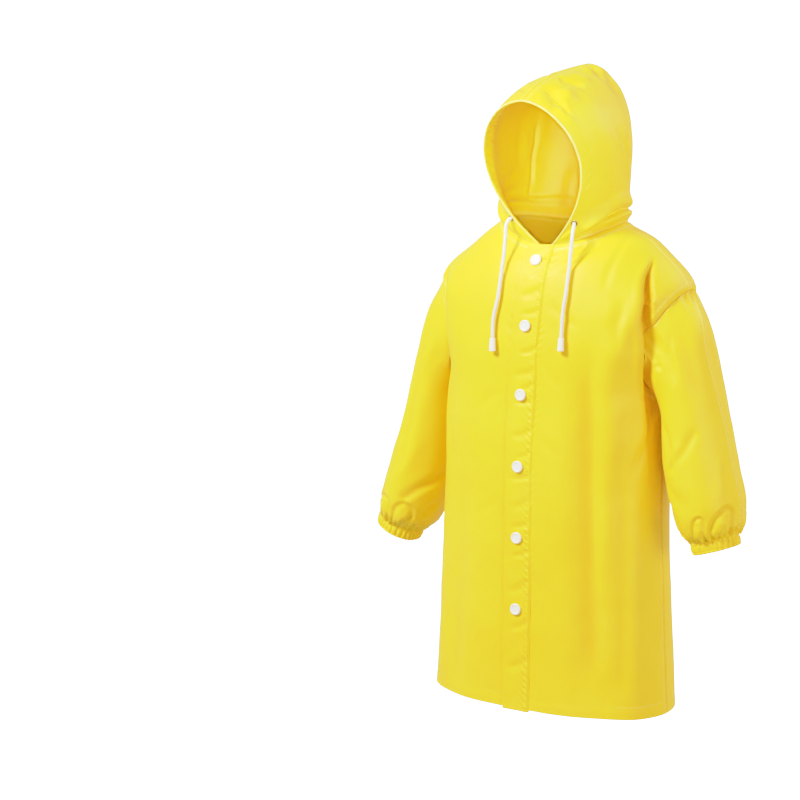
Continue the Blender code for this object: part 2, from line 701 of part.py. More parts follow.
def cuff_pieces(cloth):
    """The gathered ends of the sleeves: rings with raised ribs over a plain inside."""
    for word, side in (("left", 1), ("right", -1)):
        end = dict(zip(SLEEVE_COLUMNS, SLEEVE_ROWS[side][-1]))
        inside = Vector((side * end["inner_x"], 0, end["inner_z"]))
        outside = Vector((side * end["outer_x"], 0, end["outer_z"]))
        centre = (inside + outside) * 0.5 + Vector((0, 0.5 * (end["back"] - end["front"]), 0))
        reach = (outside - inside) * 0.5
        depth = Vector((0, -0.5 * (end["front"] + end["back"]), 0))
        down = reach.cross(depth).normalized() * side
        count = CUFF_RIBS * POINTS_PER_RIB
        outer = []
        inner = []
        for height in (0.0, 1.0):
            shift = down * (GAP + height * CUFF_HEIGHT)
            outer_row = []
            inner_row = []
            for k in range(count):
                turn = 2 * math.pi * k / count
                spoke = reach * math.cos(turn) + depth * math.sin(turn)
                length = spoke.length
                rib = CUFF_RIB_DEPTH * math.cos(CUFF_RIBS * turn)
                outer_row.append(centre + shift + spoke * (1.0 + rib / length))
                inner_row.append(centre + shift + spoke * (1.0 - CUFF_WALL / length))
            outer.append(outer_row)
            inner.append(inner_row)
        add_wall(f"cuff_{word}", np.array(outer), np.array(inner), cloth, ring=True)


def eyelet_place(hood):
    """Where the eyelet sits on a hood half, and which way it faces."""
    place = EYELET_PLACES[hood.side]
    point = hood.read(*place)
    normal = hood.read(*place, 1.0) - point
    return point, normal


def hood_pieces(torso, cloth):
    """Hood halves with the cord's holes, the casing and the eyelet rings."""
    hoods = {side: Hood(torso, side) for side in (1, -1)}
    reach = 2.0 * WALL
    hole_profile = ((0, -reach), (EYELET_HOLE, -reach), (EYELET_HOLE, reach), (0, reach))
    ring_profile = (
        (EYELET_HOLE + 0.1, 0),
        (EYELET_RADIUS, 0),
        (EYELET_RADIUS - 0.5, EYELET_HEIGHT),
        (EYELET_HOLE + 0.4, EYELET_HEIGHT),
    )
    for word, side in (("left", 1), ("right", -1)):
        hood = hoods[side]
        inner = hood_grid(torso, hood, -WALL)
        solid = add_wall(f"hood_{word}", hood_grid(torso, hood), inner, cloth)
        point, normal = eyelet_place(hood)
        cutter = add_turned(f"hole_{word}", hole_profile, point, normal, cloth, HOLE_SIDES)
        cutter.hide_render = True
        cutter.display_type = "WIRE"
        hole = solid.modifiers.new("hole", "BOOLEAN")
        hole.operation = "DIFFERENCE"
        hole.object = cutter
        seat = point + normal * EYELET_LIFT
        add_turned(f"eyelet_{word}", ring_profile, seat, normal, cloth, ROUND_SIDES, ring=True)
    deep = WALL + GAP
    add_wall(
        "hood_casing",
        casing_grid(torso, hoods, -deep),
        casing_grid(torso, hoods, -deep - CASING_WALL),
        cloth,
    )


def snap_pieces(torso, white):
    """Six round snap caps on the band: a raised rim round a shallow centre."""
    crown = SNAP_RADIUS - SNAP_EDGE
    profile = (
        (0, 0),
        (SNAP_RADIUS, 0),
        (SNAP_RADIUS, SNAP_HEIGHT - SNAP_EDGE),
        (crown, SNAP_HEIGHT),
        (crown - SNAP_RIM, SNAP_HEIGHT),
        (crown - SNAP_RIM - SNAP_DISH, SNAP_HEIGHT - SNAP_DISH),
        (0, SNAP_HEIGHT - SNAP_DISH),
    )
    for number, height in enumerate(SNAP_HEIGHTS, start=1):
        level = torso.level_at(height)
        point = torso.read(level, 0.0)
        normal = torso.read(level, 0.0, 1.0) - point
        base = point + normal * (2 * GAP + BAND_WALL + SNAP_LIFT)
        add_turned(f"button_{number}", profile, base, normal, white, ROUND_SIDES)


def cord_route(points, spacing):
    """Points of a smooth curve through the route's points, evenly apart."""
    route = np.array(points, float)
    padded = np.concatenate((2 * route[:1] - route[1:2], route, 2 * route[-1:] - route[-2:-1]))
    fine = []
    for k in range(len(route) - 1):
        a, b, c, d = padded[k : k + 4]
        slope = c - a
        bend = 2 * a - 5 * b + 4 * c - d
        twist = 3 * b - a - 3 * c + d
        for u in np.linspace(0, 1, 20, endpoint=False):
            fine.append(b + 0.5 * (slope * u + bend * u**2 + twist * u**3))
    fine.append(route[-1])
    fine = np.array(fine)
    length = np.linalg.norm(np.diff(fine, axis=0), axis=1).sum()
    return even_spacing(fine, int(round(length / spacing)))


def cord_pieces(white, tip_white):
    """The two free ends of the drawcord and the tubes on their tips."""
    neck = TIP_RADIUS - TIP_FLARE
    mouth = TIP_RADIUS - TIP_WALL
    profile = (
        (0, 0),
        (neck - TIP_FLARE, 0),
        (neck, 2 * TIP_FLARE),
        (TIP_RADIUS, TIP_LENGTH - TIP_FLARE),
        (TIP_RADIUS - TIP_FLARE, TIP_LENGTH),
        (mouth, TIP_LENGTH),
        (mouth, TIP_LENGTH - TIP_MOUTH),
        (0, TIP_LENGTH - TIP_MOUTH),
    )
    for word, points in CORD_ROUTES.items():
        path = cord_route(points, CORD_STEP)
        curve = bpy.data.curves.new(f"cord_{word}", "CURVE")
        curve.dimensions = "3D"
        curve.bevel_depth = 0.5 * CORD_DIAMETER * MM
        curve.bevel_resolution = CORD_RESOLUTION
        curve.use_fill_caps = True
        spline = curve.splines.new("POLY")
        spline.points.add(len(path) - 1)
        for spot, point in zip(spline.points, path):
            spot.co = (*(point * MM), 1.0)
        curve.materials.append(white)
        cord = bpy.data.objects.new(f"cord_{word}", curve)
        bpy.context.scene.collection.objects.link(cord)
        way = path[-1] - path[-2]
        way = way / np.linalg.norm(way)
        add_turned(f"tip_{word}", profile, path[-1] + way * GAP, way, tip_white, ROUND_SIDES)


def main():
    for item in list(bpy.data.objects):
        bpy.data.objects.remove(item)
    cloth = make_material("coated_cloth", CLOTH_COLOUR, 0.45)
    white = make_material("white_cord", WHITE, 0.7)
    plastic = make_material("white_plastic", WHITE, 0.3)
    torso = Torso()
    torso_pieces(torso, cloth)
    sleeve_pieces(torso, cloth)
    cuff_pieces(cloth)
    hood_pieces(torso, cloth)
    snap_pieces(torso, plastic)
    cord_pieces(white, plastic)


main()
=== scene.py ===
"""The looks of a child's hooded raincoat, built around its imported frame.

Each cloth piece is a thin shell on the surface of its solid: a grid of points, pressed in
or raised by creases, seams and gathers. Sizes are millimetres until a mesh is made. The
front faces -Y and the wearer's left is +X.
"""

import math
from dataclasses import dataclass

import bmesh
import bpy
import numpy as np
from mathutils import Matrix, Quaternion, Vector, noise
from mathutils.bvhtree import BVHTree
from mathutils.kdtree import KDTree


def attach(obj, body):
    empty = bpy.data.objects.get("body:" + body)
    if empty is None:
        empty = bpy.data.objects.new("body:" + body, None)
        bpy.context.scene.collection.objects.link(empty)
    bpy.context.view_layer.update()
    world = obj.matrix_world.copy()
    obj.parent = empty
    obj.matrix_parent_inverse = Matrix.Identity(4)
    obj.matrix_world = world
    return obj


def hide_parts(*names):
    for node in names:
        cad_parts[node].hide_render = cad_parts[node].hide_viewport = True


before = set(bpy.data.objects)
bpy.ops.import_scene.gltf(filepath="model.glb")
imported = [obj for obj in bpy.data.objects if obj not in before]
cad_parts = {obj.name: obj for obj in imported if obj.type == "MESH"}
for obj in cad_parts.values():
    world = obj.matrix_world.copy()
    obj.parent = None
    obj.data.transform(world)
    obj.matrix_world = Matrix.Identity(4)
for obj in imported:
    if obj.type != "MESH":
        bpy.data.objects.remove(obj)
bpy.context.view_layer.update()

BODY = "root"
MM = 0.001

# ------------------------------------------------------------------ the frame's own form

BAND_LIFT = 1.9  # the band's face stands this far off the fronts
BAND_DROP = 2.5
SNAP_RADIUS = 8.2
SNAP_HEIGHT = 3.2
SNAP_LIFT = 2.45
EYELET_HOLE = 4.0
EYELET_RADIUS = 5.8
EYELET_PLACES = {1: (0.065, 0.088), -1: (0.05, 0.093)}
CORD_DIAMETER = 5.0
TIP_RADIUS = 4.7
TIP_LENGTH = 18.0
CUFF_HEIGHT = 16.0
CASING_BACK = 0.14
CASING_RISE = 4.5
HOOD_FRONT_LEFT = 14.0
HOOD_FRONT_RIGHT = -4.0

SIDE_WORDS = {1: "left", -1: "right"}

TORSO_COLUMNS = ("half_width", "side_y", "front", "back", "z_front", "z_side", "z_back", "square")
TORSO_ROWS = (
    (92, 10, 56, 72, -24, 4, -4, 2.0),
    (142, 18, 82, 90, -66, -34, -40, 2.1),
    (190, 24, 97, 102, -128, -83, -98, 2.4),
    (182, 16, 104, 102, -170, -150, -156, 2.6),
    (167, 4, 109, 96, -228, -226, -226, 2.5),
    (166, -6, 116, 93, -330, -330, -330, 2.4),
    (173, -11, 118, 96, -490, -490, -490, 2.25),
    (183, -14, 121, 104, -673, -673, -673, 2.15),
)
SHOULDER_TIP = 2
UNDERARM = 4
HEM = 7
HEM_TILT = 0.026
SHOULDER_LIFT = {1: 11.0, -1: -1.0}
SHOULDER_LIFT_LEVEL = 0.95
SHOULDER_LIFT_REACH = 0.62
ARMHOLE_FRONT = 0.30
ARMHOLE_BACK = 0.26

# Largest folds, as the solids have them: levels where one starts and ends, across values
# (0 front middle, 1 side, 2 back middle) at its start, half way and end, width and depth.
FOLD_COLUMNS = ("side", "from_level", "to_level", "start", "half_way", "end", "width", "depth")
FOLD_FADE_IN = 0.35
FOLD_FADE_OUT = 0.3
FOLD_ROWS = (
    (1, 1.20, 5.20, 0.70, 0.53, 0.64, 18.0, -4.0),
    (-1, 1.30, 4.40, 0.80, 0.70, 0.82, 14.0, 9.0),
    (1, 3.60, 7.60, 0.40, 0.46, 0.50, 26.0, 4.0),
    (1, 4.80, 7.60, 0.72, 0.73, 0.74, 24.0, -3.5),
    (-1, 3.60, 7.60, 0.50, 0.54, 0.56, 28.0, 3.0),
    (1, 1.10, 4.40, 1.18, 1.36, 1.24, 17.0, 10.0),
    (-1, 1.10, 4.40, 1.18, 1.36, 1.24, 17.0, 10.0),
    (1, 3.20, 7.60, 1.62, 1.58, 1.56, 30.0, 5.0),
    (-1, 3.40, 7.60, 1.58, 1.55, 1.54, 30.0, 4.0),
)

# The fold in front of the left armhole: its lip by level and across, and how deep, how wide
# on its floor and how long on its far slope the recess behind the lip is.
LIP_COLUMNS = ("level", "across", "deep", "floor", "slope")
LIP_ROWS = (
    (1.15, 0.875, 0.0, 3.0, 8.0),
    (1.28, 0.805, 6.0, 4.0, 8.0),
    (1.42, 0.728, 13.0, 8.5, 8.0),
    (1.72, 0.662, 17.0, 12.0, 9.0),
    (2.24, 0.635, 18.0, 13.0, 10.0),
    (2.83, 0.675, 18.0, 13.5, 13.0),
    (3.40, 0.710, 16.0, 14.0, 18.0),
    (3.90, 0.760, 12.0, 16.0, 26.0),
    (4.33, 0.800, 9.0, 18.0, 30.0),
    (4.73, 0.825, 5.0, 18.0, 30.0),
    (5.30, 0.850, 0.0, 18.0, 30.0),
)
LIP_OVER = 5.0  # how far the lip reaches over its recess
LIP_PUFF = 2.2
LIP_FULL = 9.0  # a lip this deep hides the seams on its face
RECESS_SHADE_FULL = 12.0  # a recess this deep gets the full painted shade

# The fold where each half of the hood hangs over its neck seam: its lip by share back and
# share up, and the depth of the valley under it.
HOOD_LIP_COLUMNS = ("back", "up", "deep")
HOOD_LIP_ROWS = {
    1: (
        (0.00, 0.000, 0.0),
        (0.13, 0.008, 0.0),
        (0.187, 0.050, 6.5),
        (0.27, 0.090, 10.0),
        (0.337, 0.112, 11.5),
        (0.42, 0.118, 11.5),
        (0.51, 0.104, 9.5),
        (0.64, 0.090, 5.0),
        (0.82, 0.100, 2.5),
        (1.00, 0.095, 1.5),
    ),
    -1: (
        (0.00, 0.000, 0.0),
        (0.12, 0.010, 0.0),
        (0.20, 0.055, 4.0),
        (0.33, 0.100, 7.0),
        (0.47, 0.115, 8.0),
        (0.62, 0.098, 4.5),
        (0.80, 0.104, 2.5),
        (1.00, 0.095, 1.5),
    ),
}
HOOD_LIP_FLOOR = 7.0
HOOD_LIP_SLOPE = 15.0
HOOD_LIP_OVER = 5.5
HOOD_LIP_PUFF = 2.0

SLEEVE_COLUMNS = ("inner_x", "inner_z", "outer_x", "outer_z", "front", "back")
SLEEVE_ROWS = {
    1: (
        (166, -226, 190, -83, 45, 80),
        (168, -240, 220, -126, 48, 74),
        (171, -266, 240, -190, 52, 67),
        (173, -308, 260, -254, 56, 60),
        (181, -353, 277, -318, 60, 54),
        (191, -391, 289, -366, 61, 49),
        (204, -416, 290, -393, 56, 40),
        (219, -428, 284, -408, 44, 26),
    ),
    -1: (
        (166, -226, 190, -83, 45, 80),
        (168, -242, 212, -128, 46, 76),
        (171, -272, 228, -196, 48, 72),
        (173, -322, 246, -268, 51, 66),
        (181, -374, 266, -338, 56, 58),
        (193, -420, 283, -391, 60, 51),
        (208, -452, 291, -422, 56, 40),
        (227, -468, 290, -440, 44, 26),
    ),
}
SLEEVE_BLEND = 0.26

HOOD_COLUMNS = ("foot", "wide_x", "wide_y", "wide_z", "top_y", "top_z")
HOOD_ROWS = (
    (0.00, 76, -86, 95, -113, 180),
    (0.16, 84, -54, 98, -76, 197),
    (0.36, 92, -14, 100, -30, 208),
    (0.58, 90, 26, 102, 24, 213),
    (0.76, 76, 62, 104, 72, 216),
    (0.90, 46, 90, 98, 99, 190),
    (1.00, 0, 106, 86, 107, 140),
)
HOOD_WAIST = 0.42
HOOD_EASE = 0.35
HOOD_SAG = 9.0
HOOD_SAG_HEIGHT = 0.13
HOOD_SAG_REACH = 0.12
HOOD_SAG_START = 0.25
HOOD_SAG_END = 0.55  # the sag fades behind this share of the foot
HOOD_SAG_LOST = 0.7
HOOD_PEAK = 1.12
HOOD_FOOT_GAP = 0.4

SNAP_HEIGHTS = (-45, -132, -227, -327, -428, -530)

CORD_ROUTES = {
    "left": (
        (51.8, -58.0, 10.5),
        (54.6, -63.3, 8.1),
        (56.0, -68.5, 1.0),
        (56.0, -71.5, -12.0),
        (55.8, -74.5, -30.0),
        (56.0, -78.0, -49.0),
        (57.8, -89.0, -81.0),
        (57.8, -97.2, -109.0),
        (59.5, -104.0, -142.6),
    ),
    "right": (
        (-45.8, -60.4, 10.9),
        (-48.2, -65.6, 8.4),
        (-49.5, -70.5, 1.5),
        (-48.8, -73.5, -12.0),
        (-48.4, -78.0, -38.0),
        (-48.3, -85.0, -65.3),
        (-47.5, -94.7, -96.2),
        (-51.0, -101.0, -125.4),
        (-48.8, -106.4, -152.5),
    ),
}

# ------------------------------------------------------------------ sizes of the finish

CLOTH = 0.9  # thickness of the shells
SEAM_BAND = 10.0  # width of the double-stitched bands
HEM_TURN = 19.0
NECK_BAND = 8.5
SHOULDER_BAND = 6.0
SIDE_BAND = 5.0

# Creases: width, depth (negative is a ridge), how suddenly it starts and ends (share of
# its length), steepness of one side, and its path in the surface's own two coordinates.
TORSO_CREASES = (
    # beside the fold in front of the left armhole
    (3.0, -1.4, 0.10, 0.50, 1.0, ((1.16, 0.90), (1.30, 0.86), (1.62, 0.80), (2.0, 0.79))),
    (3.5, -1.6, 0.25, 0.35, 1.3, ((3.80, 0.82), (4.15, 0.87), (4.70, 0.94))),
    (8.0, 2.6, 0.30, 0.40, 1.0, ((1.6, 0.56), (2.3, 0.52), (3.1, 0.55))),
    # soft drapes down the left front
    (18.0, 4.2, 0.25, 0.20, 1.5, ((1.9, 0.36), (3.3, 0.40), (4.6, 0.44), (5.8, 0.47), (7.3, 0.49))),
    (14.0, -2.8, 0.30, 0.30, 1.0, ((3.6, 0.60), (4.9, 0.585), (6.0, 0.60))),
    (15.0, 3.0, 0.30, 0.20, 1.2, ((4.6, 0.66), (5.9, 0.67), (7.3, 0.66))),
    (10.0, 1.4, 0.30, 0.15, 1.0, ((5.9, 0.55), (6.5, 0.56), (7.3, 0.575))),
    # the right front, in front of the right armhole and below
    (6.0, 4.0, 0.20, 0.35, 1.4, ((1.5, -0.86), (2.2, -0.72), (3.0, -0.70), (3.9, -0.80))),
    (12.0, 1.8, 0.30, 0.30, 1.2, ((2.9, -0.58), (4.1, -0.63), (5.3, -0.60))),
    (20.0, 2.0, 0.30, 0.15, 1.0, ((4.4, -0.44), (5.6, -0.46), (7.3, -0.50))),
    (13.0, -1.4, 0.30, 0.15, 1.0, ((5.2, -0.70), (6.2, -0.69), (7.3, -0.68))),
    # pulls from the neck seam and the first snap
    (4.5, 2.6, 0.20, 0.40, 1.4, ((0.22, 0.62), (0.50, 0.46), (0.80, 0.30), (1.05, 0.20))),
    (4.0, 2.2, 0.20, 0.40, 1.3, ((0.15, 0.50), (0.42, 0.34), (0.66, 0.24))),
    (5.0, 1.3, 0.25, 0.40, 1.0, ((0.30, 0.92), (0.70, 0.72), (1.15, 0.55), (1.6, 0.44))),
    (4.5, 2.2, 0.20, 0.40, 1.3, ((0.20, -0.55), (0.50, -0.40), (0.85, -0.28), (1.1, -0.19))),
    (4.5, 1.0, 0.25, 0.40, 1.0, ((0.32, -0.85), (0.75, -0.62), (1.25, -0.46))),
    # small diagonals between the band and the chest
    (5.5, 0.9, 0.30, 0.40, 1.0, ((1.5, 0.13), (1.9, 0.24), (2.2, 0.33))),
    (6.0, 0.9, 0.30, 0.40, 1.0, ((3.1, 0.12), (3.6, 0.20), (3.9, 0.30))),
    (6.0, 0.8, 0.30, 0.40, 1.0, ((4.55, 0.12), (4.75, 0.22), (4.85, 0.32))),
    (6.5, 0.8, 0.30, 0.40, 1.0, ((3.9, -0.12), (4.15, -0.24), (4.35, -0.33))),
    (6.5, 0.7, 0.30, 0.40, 1.0, ((5.3, -0.12), (5.45, -0.25), (5.5, -0.36))),
    # under the arms and down the sides
    (7.0, 2.6, 0.15, 0.40, 1.3, ((4.02, 0.98), (4.30, 0.90), (4.75, 0.80), (5.1, 0.74))),
    (7.0, 2.2, 0.15, 0.40, 1.3, ((4.02, -0.98), (4.35, -0.88), (4.85, -0.78))),
    (8.0, 2.4, 0.15, 0.40, 1.0, ((4.02, 1.02), (4.4, 1.14), (5.0, 1.26), (5.6, 1.33))),
    (8.0, 2.4, 0.15, 0.40, 1.0, ((4.02, -1.02), (4.4, -1.15), (4.9, -1.28))),
    # behind the arms and down the back
    (6.0, 4.5, 0.20, 0.35, 1.4, ((1.4, 1.14), (2.1, 1.30), (3.0, 1.34), (3.9, 1.24))),
    (6.0, 4.2, 0.20, 0.35, 1.4, ((1.5, -1.13), (2.2, -1.30), (3.1, -1.33), (3.8, -1.25))),
    (9.0, 2.0, 0.25, 0.40, 1.2, ((0.5, 1.30), (1.2, 1.44), (2.2, 1.52), (3.2, 1.55))),
    (8.0, 1.7, 0.25, 0.40, 1.2, ((0.6, -1.36), (1.3, -1.50), (2.4, -1.57))),
    (24.0, 3.4, 0.30, 0.15, 1.2, ((2.6, 1.70), (4.4, 1.68), (5.8, 1.66), (7.3, 1.64))),
    (22.0, 3.0, 0.30, 0.15, 1.2, ((3.0, -1.66), (4.6, -1.68), (6.0, -1.70), (7.3, -1.72))),
    (16.0, -2.0, 0.30, 0.20, 1.0, ((3.9, 1.88), (5.2, 1.90), (7.3, 1.93))),
    (15.0, 1.8, 0.30, 0.15, 1.0, ((5.0, 1.42), (6.0, 1.43), (7.3, 1.45))),
    (15.0, 1.6, 0.30, 0.15, 1.0, ((4.7, -1.40), (5.9, -1.42), (7.3, -1.40))),
    (10.0, 1.2, 0.35, 0.40, 1.0, ((4.2, 1.76), (4.5, 1.86), (4.6, 1.97))),
    (10.0, 1.1, 0.35, 0.40, 1.0, ((3.6, -1.62), (3.9, -1.75), (4.0, -1.88))),
)
BAND_CREASES = (
    (4.7, 0.9, 0.25, 0.35, 1.3, ((0.30, 0.10), (0.46, 0.02), (0.58, -0.06))),
    (4.0, 0.8, 0.25, 0.35, 1.3, ((0.72, 0.11), (0.90, 0.05), (1.02, -0.02))),
    (5.3, 0.8, 0.25, 0.35, 1.0, ((1.20, 0.10), (1.36, 0.02), (1.46, -0.07))),
    (4.3, 0.7, 0.25, 0.35, 1.3, ((1.66, 0.09), (1.76, 0.03), (1.82, -0.05))),
    (4.0, 0.9, 0.25, 0.35, 1.3, ((2.72, 0.10), (2.92, 0.04), (3.02, -0.03))),
    (5.0, 0.8, 0.25, 0.35, 1.0, ((3.38, 0.10), (3.52, 0.02), (3.60, -0.07))),
    (4.0, 0.8, 0.25, 0.35, 1.3, ((3.72, 0.09), (3.84, 0.04), (3.90, -0.02))),
    (4.0, 0.8, 0.25, 0.35, 1.3, ((4.06, 0.10), (4.12, 0.03), (4.15, -0.06))),
    (5.0, 0.9, 0.25, 0.35, 1.0, ((4.46, 0.10), (4.58, 0.03), (4.63, -0.07))),
    (4.0, 0.7, 0.25, 0.35, 1.3, ((4.78, 0.09), (4.85, 0.04), (4.88, -0.03))),
    (4.3, 0.8, 0.25, 0.35, 1.3, ((5.05, 0.10), (5.10, 0.03), (5.12, -0.07))),
    (5.3, 0.7, 0.25, 0.35, 1.0, ((5.28, 0.10), (5.36, 0.02), (5.40, -0.06))),
    (4.3, 0.8, 0.25, 0.35, 1.3, ((5.50, 0.09), (5.54, 0.03), (5.56, -0.05))),
    (4.3, 0.7, 0.25, 0.35, 1.3, ((5.72, 0.10), (5.78, 0.03), (5.80, -0.05))),
    (5.6, 0.7, 0.25, 0.35, 1.0, ((5.96, 0.10), (6.06, 0.02), (6.10, -0.08))),
    (4.7, 0.8, 0.25, 0.35, 1.3, ((6.30, 0.09), (6.36, 0.03), (6.40, -0.05))),
    (5.3, 0.7, 0.25, 0.35, 1.0, ((6.58, 0.10), (6.66, 0.02), (6.70, -0.08))),
)
# Sleeves: share along the arm, and turn (0 outside, 0.25 front, 0.5 inside, 0.75 back).
SLEEVE_CREASES = {
    1: (
        # the recess beside the fold, and the small hook under it
        (10.0, 4.5, 0.25, 0.40, 1.0, (
            (0.015, 0.25), (0.05, 0.285), (0.08, 0.345),
            (0.12, 0.40), (0.22, 0.44),
        )),
        (3.6, 1.8, 0.20, 0.30, 1.4, ((0.088, 0.280), (0.115, 0.258), (0.150, 0.235))),
        (6.0, 1.5, 0.20, 0.35, 1.3, ((0.073, 0.139), (0.127, 0.178), (0.18, 0.203), (0.26, 0.215))),
        (5.5, -0.9, 0.30, 0.35, 1.0, ((0.085, 0.168), (0.14, 0.200), (0.20, 0.228))),
        # soft drapes inside the elbow
        (6.0, 3.0, 0.25, 0.25, 1.4, ((0.30, 0.335), (0.42, 0.302), (0.485, 0.300), (0.53, 0.350))),
        (7.0, 2.8, 0.25, 0.30, 1.3, ((0.41, 0.145), (0.45, 0.205), (0.48, 0.255), (0.515, 0.315))),
        (8.0, -2.4, 0.30, 0.35, 1.0, ((0.42, 0.235), (0.47, 0.268), (0.52, 0.290))),
        (14.0, 2.2, 0.25, 0.35, 1.2, ((0.05, 0.11), (0.25, 0.13), (0.38, 0.12))),
        (9.0, 1.8, 0.30, 0.35, 1.0, ((0.52, 0.38), (0.62, 0.31), (0.70, 0.25))),
        (8.0, 1.6, 0.30, 0.35, 1.0, ((0.60, 0.44), (0.70, 0.38), (0.80, 0.35))),
        (7.0, -1.4, 0.30, 0.35, 1.0, ((0.50, 0.08), (0.62, 0.10), (0.70, 0.13))),
        # hollows and puffs that run into the cuff
        (3.6, 2.8, 0.20, 0.20, 1.5, (
            (0.97, 0.285), (0.86, 0.270), (0.765, 0.245), (0.738, 0.214),
            (0.773, 0.196), (0.86, 0.206), (0.97, 0.222),
        )),
        (7.0, -2.4, 0.35, 0.15, 1.0, ((0.78, 0.222), (0.86, 0.232), (0.99, 0.248))),
        (4.4, 3.2, 0.20, 0.20, 1.5, (
            (0.97, 0.200), (0.87, 0.182), (0.77, 0.146), (0.722, 0.108),
            (0.716, 0.080), (0.755, 0.062), (0.85, 0.075), (0.97, 0.098),
        )),
        (9.0, -3.0, 0.35, 0.15, 1.0, ((0.76, 0.100), (0.84, 0.122), (0.99, 0.150))),
        (4.5, 3.6, 0.40, 0.12, 1.3, ((0.86, 0.058), (0.92, 0.068), (0.99, 0.080))),
        (4.5, 3.4, 0.40, 0.12, 1.3, ((0.84, 0.022), (0.91, 0.030), (0.99, 0.040))),
        (3.5, 3.0, 0.40, 0.12, 1.4, ((0.80, 0.405), (0.88, 0.345), (0.99, 0.305))),
        (3.5, 2.8, 0.40, 0.12, 1.4, ((0.83, 0.460), (0.90, 0.405), (0.99, 0.360))),
        (6.0, 3.6, 0.40, 0.12, 1.3, ((0.76, 0.92), (0.84, 0.93), (0.99, 0.94))),
        (7.5, 4.2, 0.40, 0.12, 1.2, ((0.73, 0.83), (0.82, 0.82), (0.99, 0.81))),
        (5.0, -2.2, 0.20, 0.10, 1.0, ((0.76, 0.88), (0.86, 0.875), (0.99, 0.87))),
        (5.5, 3.2, 0.40, 0.12, 1.3, ((0.79, 0.70), (0.87, 0.69), (0.99, 0.67))),
        (4.5, 3.0, 0.40, 0.12, 1.3, ((0.84, 0.60), (0.90, 0.585), (0.99, 0.57))),
        (7.0, 2.4, 0.25, 0.35, 1.2, ((0.08, 0.66), (0.20, 0.72), (0.34, 0.78))),
        (7.0, 2.0, 0.25, 0.35, 1.2, ((0.30, 0.60), (0.42, 0.68), (0.50, 0.78))),
        (10.0, 1.8, 0.30, 0.35, 1.0, ((0.05, 0.88), (0.26, 0.86), (0.50, 0.88))),
        (7.0, 1.6, 0.30, 0.35, 1.0, ((0.50, 0.56), (0.60, 0.66), (0.66, 0.74))),
    ),
    -1: (
        (9.0, 1.2, 0.20, 0.35, 1.2, ((0.08, 0.32), (0.20, 0.27), (0.36, 0.26))),
        (12.0, 2.4, 0.25, 0.35, 1.2, ((0.06, 0.16), (0.28, 0.19), (0.52, 0.20), (0.68, 0.18))),
        (8.0, 3.4, 0.25, 0.20, 1.5, ((0.56, 0.490), (0.62, 0.405), (0.67, 0.335), (0.76, 0.262))),
        (9.0, -1.6, 0.30, 0.35, 1.0, ((0.46, 0.30), (0.60, 0.25), (0.72, 0.20))),
        (7.0, 1.8, 0.30, 0.30, 1.2, ((0.70, 0.47), (0.76, 0.42), (0.84, 0.38))),
        (7.0, 1.4, 0.30, 0.30, 1.0, ((0.30, 0.06), (0.44, 0.09), (0.58, 0.10))),
        (4.4, 2.4, 0.20, 0.30, 1.3, (
            (0.97, 0.275), (0.863, 0.258), (0.79, 0.266), (0.755, 0.295),
            (0.758, 0.325), (0.80, 0.352), (0.92, 0.345),
        )),
        (8.0, -2.4, 0.35, 0.15, 1.0, ((0.78, 0.305), (0.84, 0.310), (0.99, 0.300))),
        (3.8, 2.2, 0.20, 0.20, 1.3, (
            (0.95, 0.075), (0.83, 0.089), (0.777, 0.145),
            (0.775, 0.200), (0.85, 0.240), (0.97, 0.252),
        )),
        (8.0, -2.6, 0.35, 0.15, 1.0, ((0.80, 0.165), (0.88, 0.175), (0.99, 0.185))),
        (4.5, 3.2, 0.40, 0.12, 1.3, ((0.84, 0.03), (0.90, 0.04), (0.99, 0.055))),
        (3.5, 3.0, 0.40, 0.12, 1.4, ((0.80, 0.37), (0.88, 0.33), (0.99, 0.29))),
        (3.5, 2.8, 0.40, 0.12, 1.4, ((0.83, 0.46), (0.90, 0.40), (0.99, 0.355))),
        (6.0, 3.6, 0.40, 0.12, 1.3, ((0.76, 0.91), (0.84, 0.92), (0.99, 0.93))),
        (7.0, 4.0, 0.40, 0.12, 1.2, ((0.75, 0.81), (0.83, 0.80), (0.99, 0.79))),
        (5.5, 3.2, 0.40, 0.12, 1.3, ((0.79, 0.69), (0.87, 0.68), (0.99, 0.66))),
        (4.5, 3.0, 0.40, 0.12, 1.3, ((0.84, 0.59), (0.90, 0.575), (0.99, 0.56))),
        (7.0, 2.4, 0.25, 0.35, 1.2, ((0.08, 0.67), (0.21, 0.73), (0.36, 0.80))),
        (7.0, 2.0, 0.25, 0.35, 1.2, ((0.32, 0.58), (0.43, 0.66), (0.50, 0.75))),
        (10.0, 1.8, 0.30, 0.35, 1.0, ((0.05, 0.90), (0.28, 0.88), (0.52, 0.90))),
    ),
}
